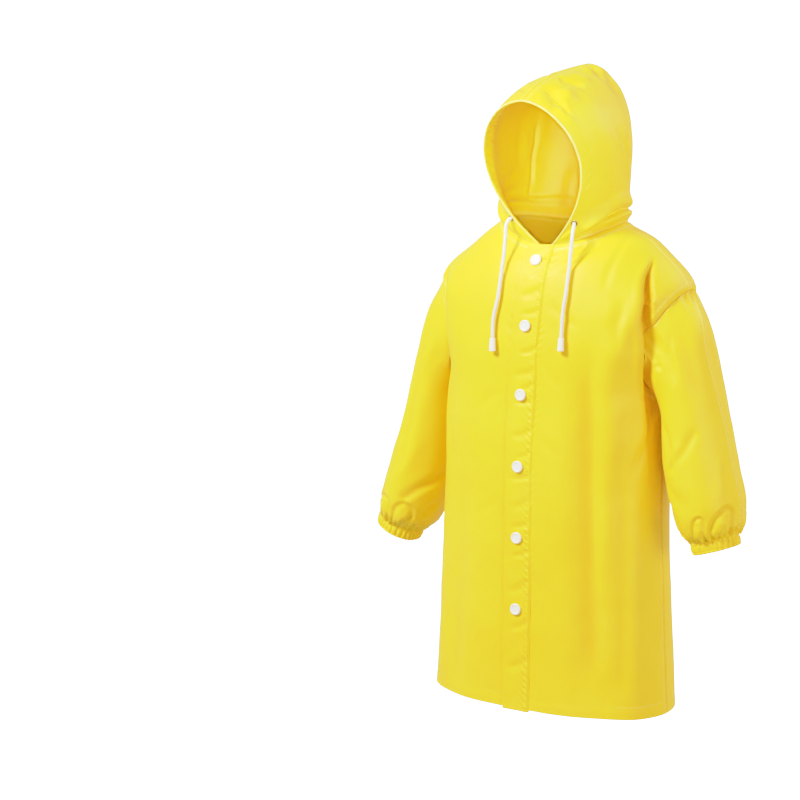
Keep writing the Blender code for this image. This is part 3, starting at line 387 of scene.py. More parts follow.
# Hood: share back from the face edge, and share up from the neck seam.
HOOD_CREASES = {
    1: (
        (10.0, 5.6, 0.25, 0.35, 1.3, ((0.20, 0.93), (0.16, 0.87), (0.12, 0.80), (0.10, 0.74))),
        (5.0, 2.6, 0.30, 0.30, 1.3, ((0.15, 0.80), (0.12, 0.74), (0.09, 0.69))),
        (8.0, -2.8, 0.30, 0.35, 1.0, ((0.07, 0.80), (0.075, 0.74), (0.10, 0.68), (0.15, 0.69))),
        (11.0, -4.2, 0.30, 0.35, 1.2, ((0.19, 0.76), (0.22, 0.80), (0.25, 0.86))),
        (10.0, 5.2, 0.25, 0.35, 1.3, ((0.30, 0.94), (0.34, 0.87), (0.38, 0.80))),
        (8.0, -2.8, 0.25, 0.35, 1.0, ((0.40, 0.95), (0.425, 0.89), (0.45, 0.81))),
        (7.0, -2.8, 0.20, 0.40, 1.0, ((0.585, 0.985), (0.55, 0.92), (0.53, 0.86))),
        (9.0, 4.0, 0.25, 0.40, 1.2, ((0.66, 0.985), (0.60, 0.91), (0.56, 0.83), (0.55, 0.76))),
        (12.0, 4.0, 0.30, 0.30, 1.0, ((0.68, 0.88), (0.62, 0.78), (0.56, 0.68))),
        (2.4, -1.2, 0.25, 0.35, 1.0, ((0.36, 0.56), (0.407, 0.443), (0.48, 0.297), (0.53, 0.20))),
        (7.0, 1.8, 0.25, 0.35, 1.3, ((0.41, 0.57), (0.46, 0.44), (0.54, 0.29))),
        (7.0, 1.4, 0.30, 0.35, 1.0, ((0.62, 0.66), (0.66, 0.52), (0.66, 0.38))),
        (3.0, 1.7, 0.20, 0.30, 1.2, ((0.115, 0.365), (0.07, 0.338), (0.045, 0.315))),
        (3.0, 1.7, 0.20, 0.30, 1.2, ((0.115, 0.290), (0.07, 0.264), (0.045, 0.245))),
        (2.6, -1.4, 0.20, 0.30, 1.0, ((0.095, 0.062), (0.060, 0.038), (0.023, 0.014))),
        (2.4, 1.5, 0.20, 0.30, 1.0, ((0.12, 0.045), (0.075, 0.020), (0.04, 0.006))),
        (7.0, 2.2, 0.25, 0.35, 1.2, ((0.78, 0.04), (0.84, 0.14), (0.88, 0.28))),
        (9.0, 1.8, 0.30, 0.35, 1.0, ((0.80, 0.80), (0.84, 0.66), (0.88, 0.52))),
    ),
    -1: (
        (4.5, 1.8, 0.20, 0.35, 1.4, ((0.08, 0.98), (0.15, 0.90), (0.22, 0.82))),
        (5.0, -1.2, 0.25, 0.35, 1.0, ((0.14, 0.98), (0.22, 0.91), (0.30, 0.84))),
        (4.0, 1.4, 0.25, 0.35, 1.3, ((0.34, 0.97), (0.41, 0.89), (0.47, 0.82))),
        (3.4, -2.4, 0.25, 0.20, 1.3, (
            (0.63, 0.55), (0.64, 0.42), (0.615, 0.30),
            (0.60, 0.20), (0.577, 0.11), (0.55, 0.02),
        )),
        (8.0, 1.8, 0.25, 0.30, 1.0, ((0.56, 0.50), (0.57, 0.36), (0.54, 0.22))),
        (7.0, 1.8, 0.30, 0.35, 1.0, ((0.64, 0.66), (0.68, 0.50), (0.68, 0.34))),
        (7.0, -2.0, 0.25, 0.30, 1.0, ((0.24, 0.12), (0.40, 0.18), (0.55, 0.25))),
        (4.0, 1.2, 0.25, 0.35, 1.2, ((0.09, 0.15), (0.16, 0.22), (0.24, 0.26))),
        (7.0, 2.0, 0.25, 0.35, 1.2, ((0.80, 0.04), (0.85, 0.15), (0.88, 0.27))),
        (9.0, 1.6, 0.30, 0.35, 1.0, ((0.80, 0.78), (0.85, 0.64), (0.87, 0.50))),
    ),
}


def smooth_rows(knots, rows, wanted):
    """A smooth monotone curve through the rows of a table, read at the wanted knots."""
    knots = np.asarray(knots, float)
    rows = np.asarray(rows, float)
    step = np.diff(knots)[:, None]
    slope = np.diff(rows, axis=0) / step
    tangent = np.zeros_like(rows)
    before, after = slope[:-1], slope[1:]
    same_way = before * after > 0
    safe_sum = np.where(same_way, before + after, 1.0)
    tangent[1:-1] = np.where(same_way, 2.0 * before * after / safe_sum, 0.0)
    tangent[0] = slope[0]
    tangent[-1] = slope[-1]
    wanted = np.clip(np.asarray(wanted, float), knots[0], knots[-1])
    k = np.clip(np.searchsorted(knots, wanted, side="right") - 1, 0, len(knots) - 2)
    h = step[k]
    u = ((wanted - knots[k])[:, None]) / h
    start, end = rows[k], rows[k + 1]
    bend_in, bend_out = tangent[k] * h, tangent[k + 1] * h
    return (
        start * (2 * u**3 - 3 * u**2 + 1)
        + bend_in * (u**3 - 2 * u**2 + u)
        + end * (3 * u**2 - 2 * u**3)
        + bend_out * (u**3 - u**2)
    )


def by_name(columns, rows):
    """A table's columns as a dictionary of upright arrays."""
    return {name: rows[:, k : k + 1] for k, name in enumerate(columns)}


def arc_lengths(points):
    """Distance along a line of points, from 0."""
    step = np.linalg.norm(np.diff(points, axis=0), axis=1)
    return np.concatenate(([0.0], np.cumsum(step)))


def read_line(points, along, wanted):
    """Points of a line at the wanted distances along it."""
    return np.stack([np.interp(wanted, along, points[:, k]) for k in range(3)], axis=1)


def even_spacing(points, count):
    """The same line with count + 1 points at even distances."""
    along = arc_lengths(points)
    return read_line(points, along, np.linspace(0.0, along[-1], count + 1))


def smooth_path(points, steps=8):
    """A smooth curve through a few points, with so many steps between them."""
    route = np.array(points, float)
    padded = np.concatenate((2 * route[:1] - route[1:2], route, 2 * route[-1:] - route[-2:-1]))
    fine = []
    for k in range(len(route) - 1):
        a, b, c, d = padded[k : k + 4]
        slope, bend, twist = c - a, 2 * a - 5 * b + 4 * c - d, 3 * b - a - 3 * c + d
        for u in np.linspace(0, 1, steps, endpoint=False):
            fine.append(b + 0.5 * (slope * u + bend * u**2 + twist * u**3))
    fine.append(route[-1])
    return np.array(fine)


def smooth_step(value):
    """0 below 0, 1 above 1, and an even S between."""
    value = np.clip(value, 0.0, 1.0)
    return value * value * (3.0 - 2.0 * value)


def bell(offset, width):
    """1 at offset 0, and 0.37 one width away on either side."""
    return np.exp(-((offset / width) ** 2))


def drift(value, waves):
    """A sum of sines, each with a height, a length and a start, that makes a pattern uneven."""
    return sum(height * np.sin(value / length + start) for height, length, start in waves)


def unit(vectors):
    """The same directions with length 1."""
    return vectors / np.maximum(np.linalg.norm(vectors, axis=-1, keepdims=True), 1e-9)


def surface_normals(grid, flip, ring=False):
    """Unit normals of a grid of points, pointing out of the garment."""
    along = np.gradient(grid, axis=0)
    across = np.gradient(grid, axis=1)
    if ring:
        across[:, 0] = across[:, -1] = 0.5 * (grid[:, 1] - grid[:, -2])
    return unit(np.cross(across, along)) * (-1.0 if flip else 1.0)


def fold_over(away, deep, floor, slope, over, puff):
    """Out and sideways moves of cloth beside a fold's lip, by distance past the lip."""
    share = deep / max(deep.max(), 1e-9)
    recess = smooth_step((away + 1.0) / 7.0) * (1.0 - smooth_step((away - floor) / slope))
    out = puff * share * bell(away + 4.0, 5.5) - deep * recess
    return out, over * share * bell(away - 1.0, 4.5)


def direction(azimuth, elevation):
    """Unit direction from the coat, by degrees round from its front and degrees up."""
    a, e = math.radians(azimuth), math.radians(elevation)
    return Vector((math.sin(a) * math.cos(e), -math.cos(a) * math.cos(e), math.sin(e)))


def read_grid(grid, row, column):
    """Point of a grid at a fractional row and column."""
    row = np.clip(row, 0.0, grid.shape[0] - 1.000001)
    column = np.clip(column, 0.0, grid.shape[1] - 1.000001)
    i, j = row.astype(int), column.astype(int)
    u, v = (row - i)[..., None], (column - j)[..., None]
    top = grid[i, j] * (1 - v) + grid[i, j + 1] * v
    low = grid[i + 1, j] * (1 - v) + grid[i + 1, j + 1] * v
    return top * (1 - u) + low * u


def read_raised(grid, normals, row, column, out):
    """The same, moved out along the surface's normal."""
    return read_grid(grid, row, column) + unit(read_grid(normals, row, column)) * out


# ------------------------------------------------------------------ surfaces

ACROSS_STEPS = 120
LEVEL_STEPS = 48


def torso_ring(ring):
    """Half a level ring, front middle to back middle, even along each quarter."""
    quarters = []
    for depth, z_end, start in (
        (-ring["front"], ring["z_front"], 0.0),
        (ring["back"], ring["z_back"], 0.5),
    ):
        angle = np.linspace(start, start + 0.5, 2 * ACROSS_STEPS + 1) * math.pi
        wide = np.abs(np.sin(angle)) ** (2.0 / ring["square"])
        deep = np.abs(np.cos(angle)) ** (2.0 / ring["square"])
        points = np.stack(
            (
                ring["half_width"] * wide,
                ring["side_y"] + (depth - ring["side_y"]) * deep,
                ring["z_side"] + (z_end - ring["z_side"]) * np.cos(angle) ** 2,
            ),
            axis=1,
        )
        quarters.append(even_spacing(points, ACROSS_STEPS))
    return np.concatenate((quarters[0], quarters[1][1:]))


class Torso:
    """The body of the coat, read by level (0 neck, 7 hem) and by across."""

    def __init__(self):
        levels = np.linspace(0, HEM, HEM * LEVEL_STEPS + 1)
        rows = smooth_rows(range(len(TORSO_ROWS)), TORSO_ROWS, levels)
        half = np.stack([torso_ring(dict(zip(TORSO_COLUMNS, row))) for row in rows])
        self.front_length = np.linalg.norm(
            np.diff(half[:, : ACROSS_STEPS + 1], axis=1), axis=2
        ).sum(axis=1)
        self.points = {}
        self.normals = {}
        for side in (1, -1):
            grid = half * (side, 1, 1)
            rise = bell(levels - SHOULDER_LIFT_LEVEL, SHOULDER_LIFT_REACH)
            ridge = np.sin(np.linspace(0, math.pi, grid.shape[1])) ** 2
            grid[..., 2] += SHOULDER_LIFT[side] * rise[:, None] * ridge[None, :]
            normal = surface_normals(grid, side > 0)
            grid = grid - normal * self.fold_depth(side, levels)[..., None]
            if side > 0:
                grid = self.lip(grid, levels)
            tilt = HEM_TILT * smooth_step((levels - UNDERARM) / (HEM - UNDERARM))
            grid[..., 2] -= np.maximum(grid[..., 0], 0.0) * tilt[:, None]
            self.points[side] = grid
            self.normals[side] = surface_normals(grid, side > 0)

    def fold_depth(self, side, levels):
        """How deep the largest folds press each point of one half in."""
        across = np.linspace(0, 2, 2 * ACROSS_STEPS + 1)[None, :]
        level = levels[:, None]
        girth = self.front_length[:, None]
        depth = np.zeros((level.size, across.size))
        for row in FOLD_ROWS:
            fold = dict(zip(FOLD_COLUMNS, row))
            if fold["side"] != side:
                continue
            share = (level - fold["from_level"]) / (fold["to_level"] - fold["from_level"])
            path = fold["start"] * (1 - share) * (1 - 2 * share)
            path = path + fold["half_way"] * 4 * share * (1 - share)
            path = path + fold["end"] * share * (2 * share - 1)
            fade = smooth_step(share / FOLD_FADE_IN) * smooth_step((1.0 - share) / FOLD_FADE_OUT)
            away = (across - path) * girth / fold["width"]
            depth += fold["depth"] * fade * np.exp(-(away**2))
        return depth

    def lip(self, grid, levels):
        """The grid with the lip and recess in front of the left armhole."""
        rows = np.array(LIP_ROWS)
        rows = by_name(LIP_COLUMNS, smooth_rows(rows[:, 0], rows, levels))
        across = np.linspace(0, 2, grid.shape[1])[None, :]
        away = (across - rows["across"]) * self.front_length[:, None]
        out, over = fold_over(away, rows["deep"], rows["floor"], rows["slope"], LIP_OVER, LIP_PUFF)
        beside = unit(np.gradient(grid, axis=1))
        return grid + surface_normals(grid, True) * out[..., None] + beside * over[..., None]

    def beside_lip(self, level, across):
        """Two shares for places near the fold in front of the left armhole.

        The first is 0 on the fold's face and 1 behind its lip and elsewhere. The second is
        1 at the bottom of its recess and 0 away from it; it sets the painted shade there.
        """
        rows = np.array(LIP_ROWS)
        lip = by_name(LIP_COLUMNS, smooth_rows(rows[:, 0], rows, level.ravel()))
        away = (across.ravel()[:, None] - lip["across"]) * self.girth(level.ravel())[:, None]
        face = np.clip(lip["deep"] / LIP_FULL, 0.0, 1.0) * (1.0 - smooth_step((away - 1.0) / 4.0))
        hollow = np.clip(lip["deep"] / RECESS_SHADE_FULL, 0.0, 1.0)
        hollow = hollow * bell(away - 0.9 * lip["floor"], 1.2 * lip["floor"])
        return (1.0 - face).reshape(level.shape), hollow.reshape(level.shape)

    def read(self, level, across, out=0.0):
        """Points at a level and across (negative on the wearer's right), moved out."""
        level, across = np.broadcast_arrays(np.asarray(level, float), np.asarray(across, float))
        place = (level * LEVEL_STEPS, np.abs(across) * ACROSS_STEPS)
        left = (across >= 0)[..., None]
        point = np.where(left, read_grid(self.points[1], *place), read_grid(self.points[-1], *place))
        if np.ndim(out) == 0 and out == 0.0:
            return point
        normal = np.where(left, read_grid(self.normals[1], *place), read_grid(self.normals[-1], *place))
        return point + unit(normal) * out

    def girth(self, level):
        """Length of the half front at a level."""
        return np.interp(level, np.linspace(0, HEM, len(self.front_length)), self.front_length)

    def level_at(self, height):
        """Level where the front middle has this height."""
        middle = self.points[1][:, 0, 2]
        return float(np.interp(-height, -middle, np.linspace(0, HEM, len(middle))))


ARMHOLE_MIDDLE = 0.5 * (SHOULDER_TIP + UNDERARM)
ARMHOLE_HALF = 0.5 * (UNDERARM - SHOULDER_TIP)


def armhole_levels(count):
    """Levels down an armhole's edge, from the shoulder to the underarm."""
    return ARMHOLE_MIDDLE - np.cos(np.linspace(0, math.pi, count)) * ARMHOLE_HALF


def armhole_across(level, back):
    """Across value of the armhole edge at a level, 1 outside the armhole."""
    bite = np.sqrt(np.clip(1.0 - ((level - ARMHOLE_MIDDLE) / ARMHOLE_HALF) ** 2, 0.0, 1.0))
    return 1.0 + ARMHOLE_BACK * bite if back else 1.0 - ARMHOLE_FRONT * bite


class Sleeve:
    """A sleeve, read by share along it and by turn round it."""

    def __init__(self, torso, side, along_steps=160, turn_steps=240):
        self.side = side
        share = np.linspace(0, 1, along_steps + 1)
        table = SLEEVE_ROWS[side]
        ring = by_name(SLEEVE_COLUMNS, smooth_rows(np.linspace(0, 1, len(table)), table, share))
        turn = np.linspace(0, 2 * math.pi, turn_steps + 1)
        reach_x = 0.5 * (ring["outer_x"] - ring["inner_x"])
        reach_z = 0.5 * (ring["outer_z"] - ring["inner_z"])
        cos, sin = np.cos(turn)[None, :], np.sin(turn)[None, :]
        depth = np.where(sin > 0, -ring["front"], -ring["back"])
        x = ring["inner_x"] + reach_x * (1.0 + cos)
        z = ring["inner_z"] + reach_z * (1.0 + cos)
        grid = np.stack((side * x, depth * sin, z), axis=2)
        level = ARMHOLE_MIDDLE - cos[0] * ARMHOLE_HALF
        bite = np.where(sin[0] > 0, -ARMHOLE_FRONT, ARMHOLE_BACK) * np.abs(sin[0])
        armhole = torso.read(level, side * (1.0 + bite))
        blend = (1.0 - smooth_step(share / SLEEVE_BLEND))[:, None, None]
        self.grid = grid + (armhole[None] - grid[0:1]) * blend
        self.normal = surface_normals(self.grid, side < 0, ring=True)
        self.length = arc_lengths(self.grid[:, turn_steps // 4])[-1]
        self.armhole_line = even_spacing(armhole, 460)
        along = np.linspace(0, 1, 300)
        self.over_line = even_spacing(self.read(along, 0.0), 380)
        self.under_line = even_spacing(self.read(along, 0.5), 280)

    def read(self, share, turn, out=0.0):
        """Points at a share along and a turn (0 outside, 0.25 front, 0.5 inside)."""
        share, turn = np.broadcast_arrays(np.asarray(share, float), np.asarray(turn, float))
        row = share * (self.grid.shape[0] - 1)
        column = np.mod(turn, 1.0) * (self.grid.shape[1] - 1)
        return read_raised(self.grid, self.normal, row, column, out)


class Hood:
    """One half of the hood, read by share back and share up."""

    def __init__(self, torso, side, back_steps=160, up_steps=200):
        self.side = side
        back = np.linspace(0, 1, back_steps + 1)
        rib = by_name(
            HOOD_COLUMNS, smooth_rows(np.linspace(0, 1, len(HOOD_ROWS)), HOOD_ROWS, back)
        )
        start = (HOOD_FRONT_LEFT if side > 0 else -HOOD_FRONT_RIGHT) / torso.girth(0.0)
        across = start + (2.0 - start) * rib["foot"][:, 0]
        foot = torso.read(0.0, side * across) + (0.0, 0.0, HOOD_FOOT_GAP)
        up = np.linspace(0, 1, up_steps + 1)[None, :]
        low = np.clip(up / HOOD_WAIST, 0, 1)
        quarter = np.clip((up - HOOD_WAIST) / (1 - HOOD_WAIST), 0, 1) * 0.5 * math.pi
        rise = low * (1.0 + HOOD_EASE * (1.0 - low))
        sag = bell(low - HOOD_SAG_HEIGHT, HOOD_SAG_REACH)
        sag = HOOD_SAG * sag * smooth_step(low / HOOD_SAG_REACH)
        sag = sag * smooth_step(rib["foot"] / HOOD_SAG_START)
        sag = sag * (1.0 - HOOD_SAG_LOST * smooth_step((rib["foot"] - HOOD_SAG_END) / 0.35))
        spread = 1.0 - (1.0 - rise) ** 2
        wide = np.concatenate((side * rib["wide_x"], rib["wide_y"], rib["wide_z"]), axis=1)
        low_part = foot[:, None, :] + (wide - foot)[:, None, :] * np.stack(
            (spread[0], rise[0], rise[0]), axis=1
        )
        cos, sin = np.cos(quarter), np.sin(quarter)
        high_part = np.stack(
            (
                side * rib["wide_x"] * np.abs(cos) ** HOOD_PEAK,
                rib["wide_y"] + (rib["top_y"] - rib["wide_y"]) * sin,
                rib["wide_z"] + (rib["top_z"] - rib["wide_z"]) * sin,
            ),
            axis=2,
        )
        grid = np.where((up <= HOOD_WAIST)[..., None], low_part, high_part)
        grid = grid + surface_normals(grid, side > 0) * sag[..., None]
        rows = np.array(HOOD_LIP_ROWS[side])
        lip = by_name(HOOD_LIP_COLUMNS, smooth_rows(rows[:, 0], rows, back))
        away = (lip["up"] - up) * arc_lengths(grid[back_steps // 2])[-1]
        out, over = fold_over(away, lip["deep"], HOOD_LIP_FLOOR, HOOD_LIP_SLOPE, HOOD_LIP_OVER, HOOD_LIP_PUFF)
        hold = smooth_step(up / 0.02)
        below = -unit(np.gradient(grid, axis=1))
        normal = surface_normals(grid, side > 0)
        self.grid = grid + normal * (out * hold)[..., None] + below * (over * hold)[..., None]
        self.normal = surface_normals(self.grid, side > 0)

    def read(self, back, up, out=0.0):
        """Points at a share back and a share up from the neck seam."""
        back, up = np.broadcast_arrays(np.asarray(back, float), np.asarray(up, float))
        row = back * (self.grid.shape[0] - 1)
        column = up * (self.grid.shape[1] - 1)
        return read_raised(self.grid, self.normal, row, column, out)


# ------------------------------------------------------------------ creases and seams


def crease_depth(points, normals, creases, read):
    """How deep the creases press each point in; read places a path on the surface."""
    flat = points.reshape(-1, 3)
    depth = np.zeros(len(flat))
    for width, deep, start_fade, end_fade, steep, path in creases:
        route = smooth_path(path)
        line = read(route[:, 0], route[:, 1])
        reach = 3.2 * width
        low, high = line.min(axis=0) - reach, line.max(axis=0) + reach
        near = np.flatnonzero(((flat > low) & (flat < high)).all(axis=1))
        if not len(near):
            continue
        away = flat[near, None, :] - line[None, :, :]
        square = (away**2).sum(axis=2)
        best = square.argmin(axis=1)
        along = arc_lengths(line)
        tangent = unit(np.gradient(line, axis=0))
        offset = away[np.arange(len(near)), best]
        slide = (offset * tangent[best]).sum(axis=1)
        share = np.clip((along[best] + slide) / along[-1], 0.0, 1.0)
        past = np.maximum(0.0, np.abs(slide) - along[-1] / (len(line) - 1))
        across = offset - tangent[best] * np.clip(slide, -width, width)[:, None]
        distance = np.linalg.norm(across, axis=1) + past
        side = np.cross(normals.reshape(-1, 3)[near], tangent[best])
        steeper = np.where((side * across).sum(axis=1) > 0, steep, 1.0)
        x = distance * steeper / width
        profile = np.exp(-(x**2)) - 0.13 * bell(x - 1.9, 0.75)
        fade = smooth_step(share / start_fade) * smooth_step((1.0 - share) / end_fade)
        depth[near] += deep * fade * profile
    return depth.reshape(points.shape[:-1])


def unevenness(points, size, height, seed, share=1.0):
    """Smooth random relief of a given wavelength, the same wherever pieces meet."""
    flat = points.reshape(-1, 3) / size + seed
    values = np.array([noise.noise(Vector(p)) for p in flat])
    return height * share * values.reshape(points.shape[:-1])


SEAM_REACH = 14.0  # a seam changes nothing further off than this
NO_SEAM = 30.0  # distance that stands for no seam near
FAR_OFF = 1e3
SEAM_JUMP = 9.0  # between neighbours, this step along means that they are on two seams
CREASE_SHADE = 0.55  # how strongly painted shade deepens the colour down in a crease
# strength of the painted shade line along a seam's joint
JOINT_SHADE = 0.9
SEAM_DRIFT = ((0.9, 23.0, 0.0), (0.7, 9.7, 1.3))  # shifts of a seam's puckers along it
SEAM_SWELL = ((0.35, 17.0, 0.4),)  # changes of their height
# Wavelength, height and seed of the cloth's unevenness.
BROAD_UNEVENNESS = (95.0, 1.5, 3.0)
FINE_UNEVENNESS = (30.0, 0.55, 9.0)
BAND_UNEVENNESS = (26.0, 0.55, 5.0)


@dataclass
class Seam:
    """A sewn line: its points, and what it does to the cloth beside it."""

    points: np.ndarray
    band: float = 0.0  # width of the raised turning beside it
    lift: float = 0.55  # height of that turning
    rows: tuple = ()  # distances of its rows of stitches
    groove: float = 0.8  # depth of the joint itself
    pucker: float = 0.35  # height of the puckers
    period: float = 7.0  # their length along the seam
    at: float = None  # their distance from it, which is the last row's where it is None
    wear_and_highlight: float = 0.35  # how pale the turning's edge is made, by wear and a painted highlight
    reach: float = 2.6  # how far the puckers spread
    slant: float = 0.0  # how far they lean
    folded: bool = False  # hidden where a fold's face passes over it
    joint_shade_width: float = 0.0  # width of the painted shade line along the joint's groove

    def __post_init__(self):
        self.along = arc_lengths(self.points)
        self.tangent = unit(np.gradient(self.points, axis=0))
        if self.at is None:
            self.at = self.rows[-1] if self.rows else 1.5
        self.tree = KDTree(len(self.points))
        for k, point in enumerate(self.points):
            self.tree.insert(point, k)
        self.tree.balance()

    def near(self, points, reach):
        """Distance from the seam and distance along it, for points within reach."""
        flat = points.reshape(-1, 3)
        distance = np.full(len(flat), FAR_OFF)
        along = np.zeros(len(flat))
        low, high = self.points.min(axis=0) - reach, self.points.max(axis=0) + reach
        inside = np.flatnonzero(((flat > low) & (flat < high)).all(axis=1))
        if len(inside):
            nearest = np.array([self.tree.find(flat[k])[1] for k in inside])
            offset = flat[inside] - self.points[nearest]
            slide = (offset * self.tangent[nearest]).sum(axis=1)
            step = self.along[-1] / (len(self.points) - 1)
            past = np.maximum(0.0, np.abs(slide) - step)
            beside = (offset**2).sum(axis=1) - slide**2
            distance[inside] = np.sqrt(np.maximum(beside, 0.0) + past**2)
            along[inside] = self.along[nearest] + slide
        return distance.reshape(points.shape[:-1]), along.reshape(points.shape[:-1])

    def wave(self, along):
        """The puckers' uneven wave along the seam."""
        size = 0.65 + drift(along, SEAM_SWELL)
        return size * np.cos(2 * math.pi * along / self.period + drift(along, SEAM_DRIFT))

    def relief(self, distance, along):
        """How far the seam raises the cloth at these places."""
        out = -self.groove * bell(distance, 0.9)
        if self.band:
            out = out + self.lift * smooth_step((self.band - distance) / 1.2 + 0.5)
        for row in self.rows:
            out = out - 0.3 * bell(distance - row, 0.9)
        wave = self.wave(along + self.slant * distance)
        out = out + self.pucker * bell(distance - self.at, self.reach) * wave
        return out


def dress(points, normals, depth, seams, drape=1.0, shown=1.0, recess=0.0):
    """The finished surface: creases, unevenness and seams on the plain one.

    shown fades out the seams marked folded, where a fold's face passes over them, and
    recess is 1 where painted shade deepens the colour as in a crease. Also gives, for the
    material, the distances from and along the nearest seam, and pale wear with a painted
    highlight above 0 or painted shade below 0.
    """
    out = unevenness(points, *BROAD_UNEVENNESS, drape) + unevenness(points, *FINE_UNEVENNESS, drape)
    out = out - depth
    seam_uv = np.zeros(points.shape[:-1] + (2,))
    seam_uv[..., 0] = NO_SEAM
    wear_highlight_and_shade = np.zeros(points.shape[:-1])
    # painted shade: the colour darkens down in creases and in the recess behind the fold's lip
    painted_shade = CREASE_SHADE * np.maximum(smooth_step((depth - 0.8) / 5.0), recess)
    for seam in seams:
        distance, along = seam.near(points, SEAM_REACH)
        there = shown if seam.folded else 1.0
        out = out + there * np.where(distance < SEAM_REACH, seam.relief(distance, along), 0.0)
        edge = seam.band if seam.band else 1.5
        # pale wear with a painted highlight on the turning's edge
        wear_highlight_and_shade = np.maximum(wear_highlight_and_shade, there * seam.wear_and_highlight * bell(distance - edge + 0.6, 1.3))
        # a painted shade line along the joint's groove
        if seam.joint_shade_width:
            painted_shade = np.maximum(painted_shade, JOINT_SHADE * there * bell(distance, seam.joint_shade_width))
        distance = np.where(there < 0.5, FAR_OFF, distance)
        if not seam.wear_and_highlight:
            continue
        off = np.abs(distance - seam.at)
        closer = off < seam_uv[..., 0]
        seam_uv[closer, 0] = off[closer]
        seam_uv[closer, 1] = along[closer]
    for grid in (seam_uv, seam_uv.transpose(1, 0, 2)):
        jump = np.abs(np.diff(grid[..., 1], axis=0)) > SEAM_JUMP
        grid[:-1][jump, 0] = NO_SEAM
        grid[1:][jump, 0] = NO_SEAM
    return points + normals * out[..., None], seam_uv, wear_highlight_and_shade - painted_shade


# ------------------------------------------------------------------ materials

MIX_COLOUR_B = 7  # sockets of a colour mix, by their numbers
MIX_COLOUR_RESULT = 2


class Look:
    """A Principled material with helpers for its node tree."""

    def __init__(self, name, roughness, **constants):
        self.material = bpy.data.materials.new(name)
        self.material.use_nodes = True
        self.tree = self.material.node_tree
        self.shader = self.tree.nodes["Principled BSDF"]
        self.shader.inputs["Roughness"].default_value = roughness
        for socket, value in constants.items():
            self.shader.inputs[socket.replace("_", " ")].default_value = value
        self.place = self.node("ShaderNodeTexCoord").outputs["Object"]
        self.normal = None

    def node(self, kind, **inputs):
        """A node with its inputs set or linked; _0 is its first input, and so on."""
        item = self.tree.nodes.new(kind)
        for socket, value in inputs.items():
            target = item.inputs[int(socket[1:])] if socket[1:].isdigit() else item.inputs[socket]
            if hasattr(value, "is_linked"):
                self.tree.links.new(value, target)
            else:
                target.default_value = value
        return item

    def math(self, operation, *values):
        """The result of a math node."""
        item = self.node("ShaderNodeMath", **{f"_{k}": v for k, v in enumerate(values)})
        item.operation = operation
        return item.outputs[0]

    def noise(self, size, detail=2.0, place=None):
        """Noise between 0 and 1, of a size in metres."""
        place = place or self.place
        return self.node("ShaderNodeTexNoise", Vector=place, Scale=1.0 / size, Detail=detail).outputs["Fac"]

    def uv(self, name):
        """The two coordinates of one of the mesh's UV maps, in metres."""
        layer = self.node("ShaderNodeUVMap")
        layer.uv_map = name
        parts = self.node("ShaderNodeSeparateXYZ", Vector=layer.outputs["UV"]).outputs
        return parts["X"], parts["Y"]

    def sine(self, value, length):
        """A wave of a length in metres."""
        return self.math("SINE", self.math("MULTIPLY", value, 2 * math.pi / length))

    def span(self, value, **limits):
        """A value mapped from one range to another."""
        item = self.node("ShaderNodeMapRange", Value=value)
        for socket, limit in limits.items():
            item.inputs[socket.replace("_", " ")].default_value = limit
        return item.outputs["Result"]

    def mix(self, share, colour, other):
        """A colour that turns to another, fixed one."""
        item = self.node("ShaderNodeMix", Factor=share)
        item.data_type = "RGBA"
        self.tree.links.new(colour, item.inputs["A"])
        item.inputs[MIX_COLOUR_B].default_value = (*other, 1.0)
        return item.outputs[MIX_COLOUR_RESULT]

    def ramp(self, value, *stops):
        """A colour ramp with (place, colour) stops."""
        item = self.node("ShaderNodeValToRGB", Fac=value)
        ramp = item.color_ramp
        while len(ramp.elements) < len(stops):
            ramp.elements.new(0.5)
        for element, (place, colour) in zip(ramp.elements, stops):
            element.position = place
            element.color = (*colour, 1.0)
        return item.outputs["Color"]

    def bump(self, height, distance, strength=1.0):
        """Adds a bump of so many metres to those before it."""
        item = self.node("ShaderNodeBump", Height=height, Distance=distance, Strength=strength)
        if self.normal:
            self.tree.links.new(self.normal, item.inputs["Normal"])
        self.normal = item.outputs["Normal"]

    def finish(self, colour, roughness=None):
        """Links what the material varies, and gives the material."""
        for socket, value in (("Base Color", colour), ("Roughness", roughness), ("Normal", self.normal)):
            if value is not None:
                self.tree.links.new(value, self.shader.inputs[socket])
        return self.material

    def mottled(self, size, detail, dark, pale, grain, strength):
        """The finished material in two mottled shades, with a fine grain."""
        colour = self.ramp(self.noise(size, detail), dark, pale)
        self.bump(self.noise(grain), 0.0001, strength)
        return self.finish(colour)


CLOTH_YELLOWS = ((0.950, 0.665, 0.016), (0.960, 0.695, 0.022), (0.965, 0.720, 0.032))
# Colour of the painted shade in creases, in the recess behind the lip and along seam joints.
PAINTED_SHADE_ORANGE = (0.84, 0.43, 0.010)
# Pale colour of wear and of the painted highlight on seam edges and the hood's rolled rim.
WEAR_AND_HIGHLIGHT_YELLOW = (0.97, 0.84, 0.30)
PUCKER_LENGTH = 0.0046  # small puckers beside the stitches, in metres
PUCKER_REACH = 0.0026
THREAD_PAIR = 0.0008  # a warp or weft thread and its gap


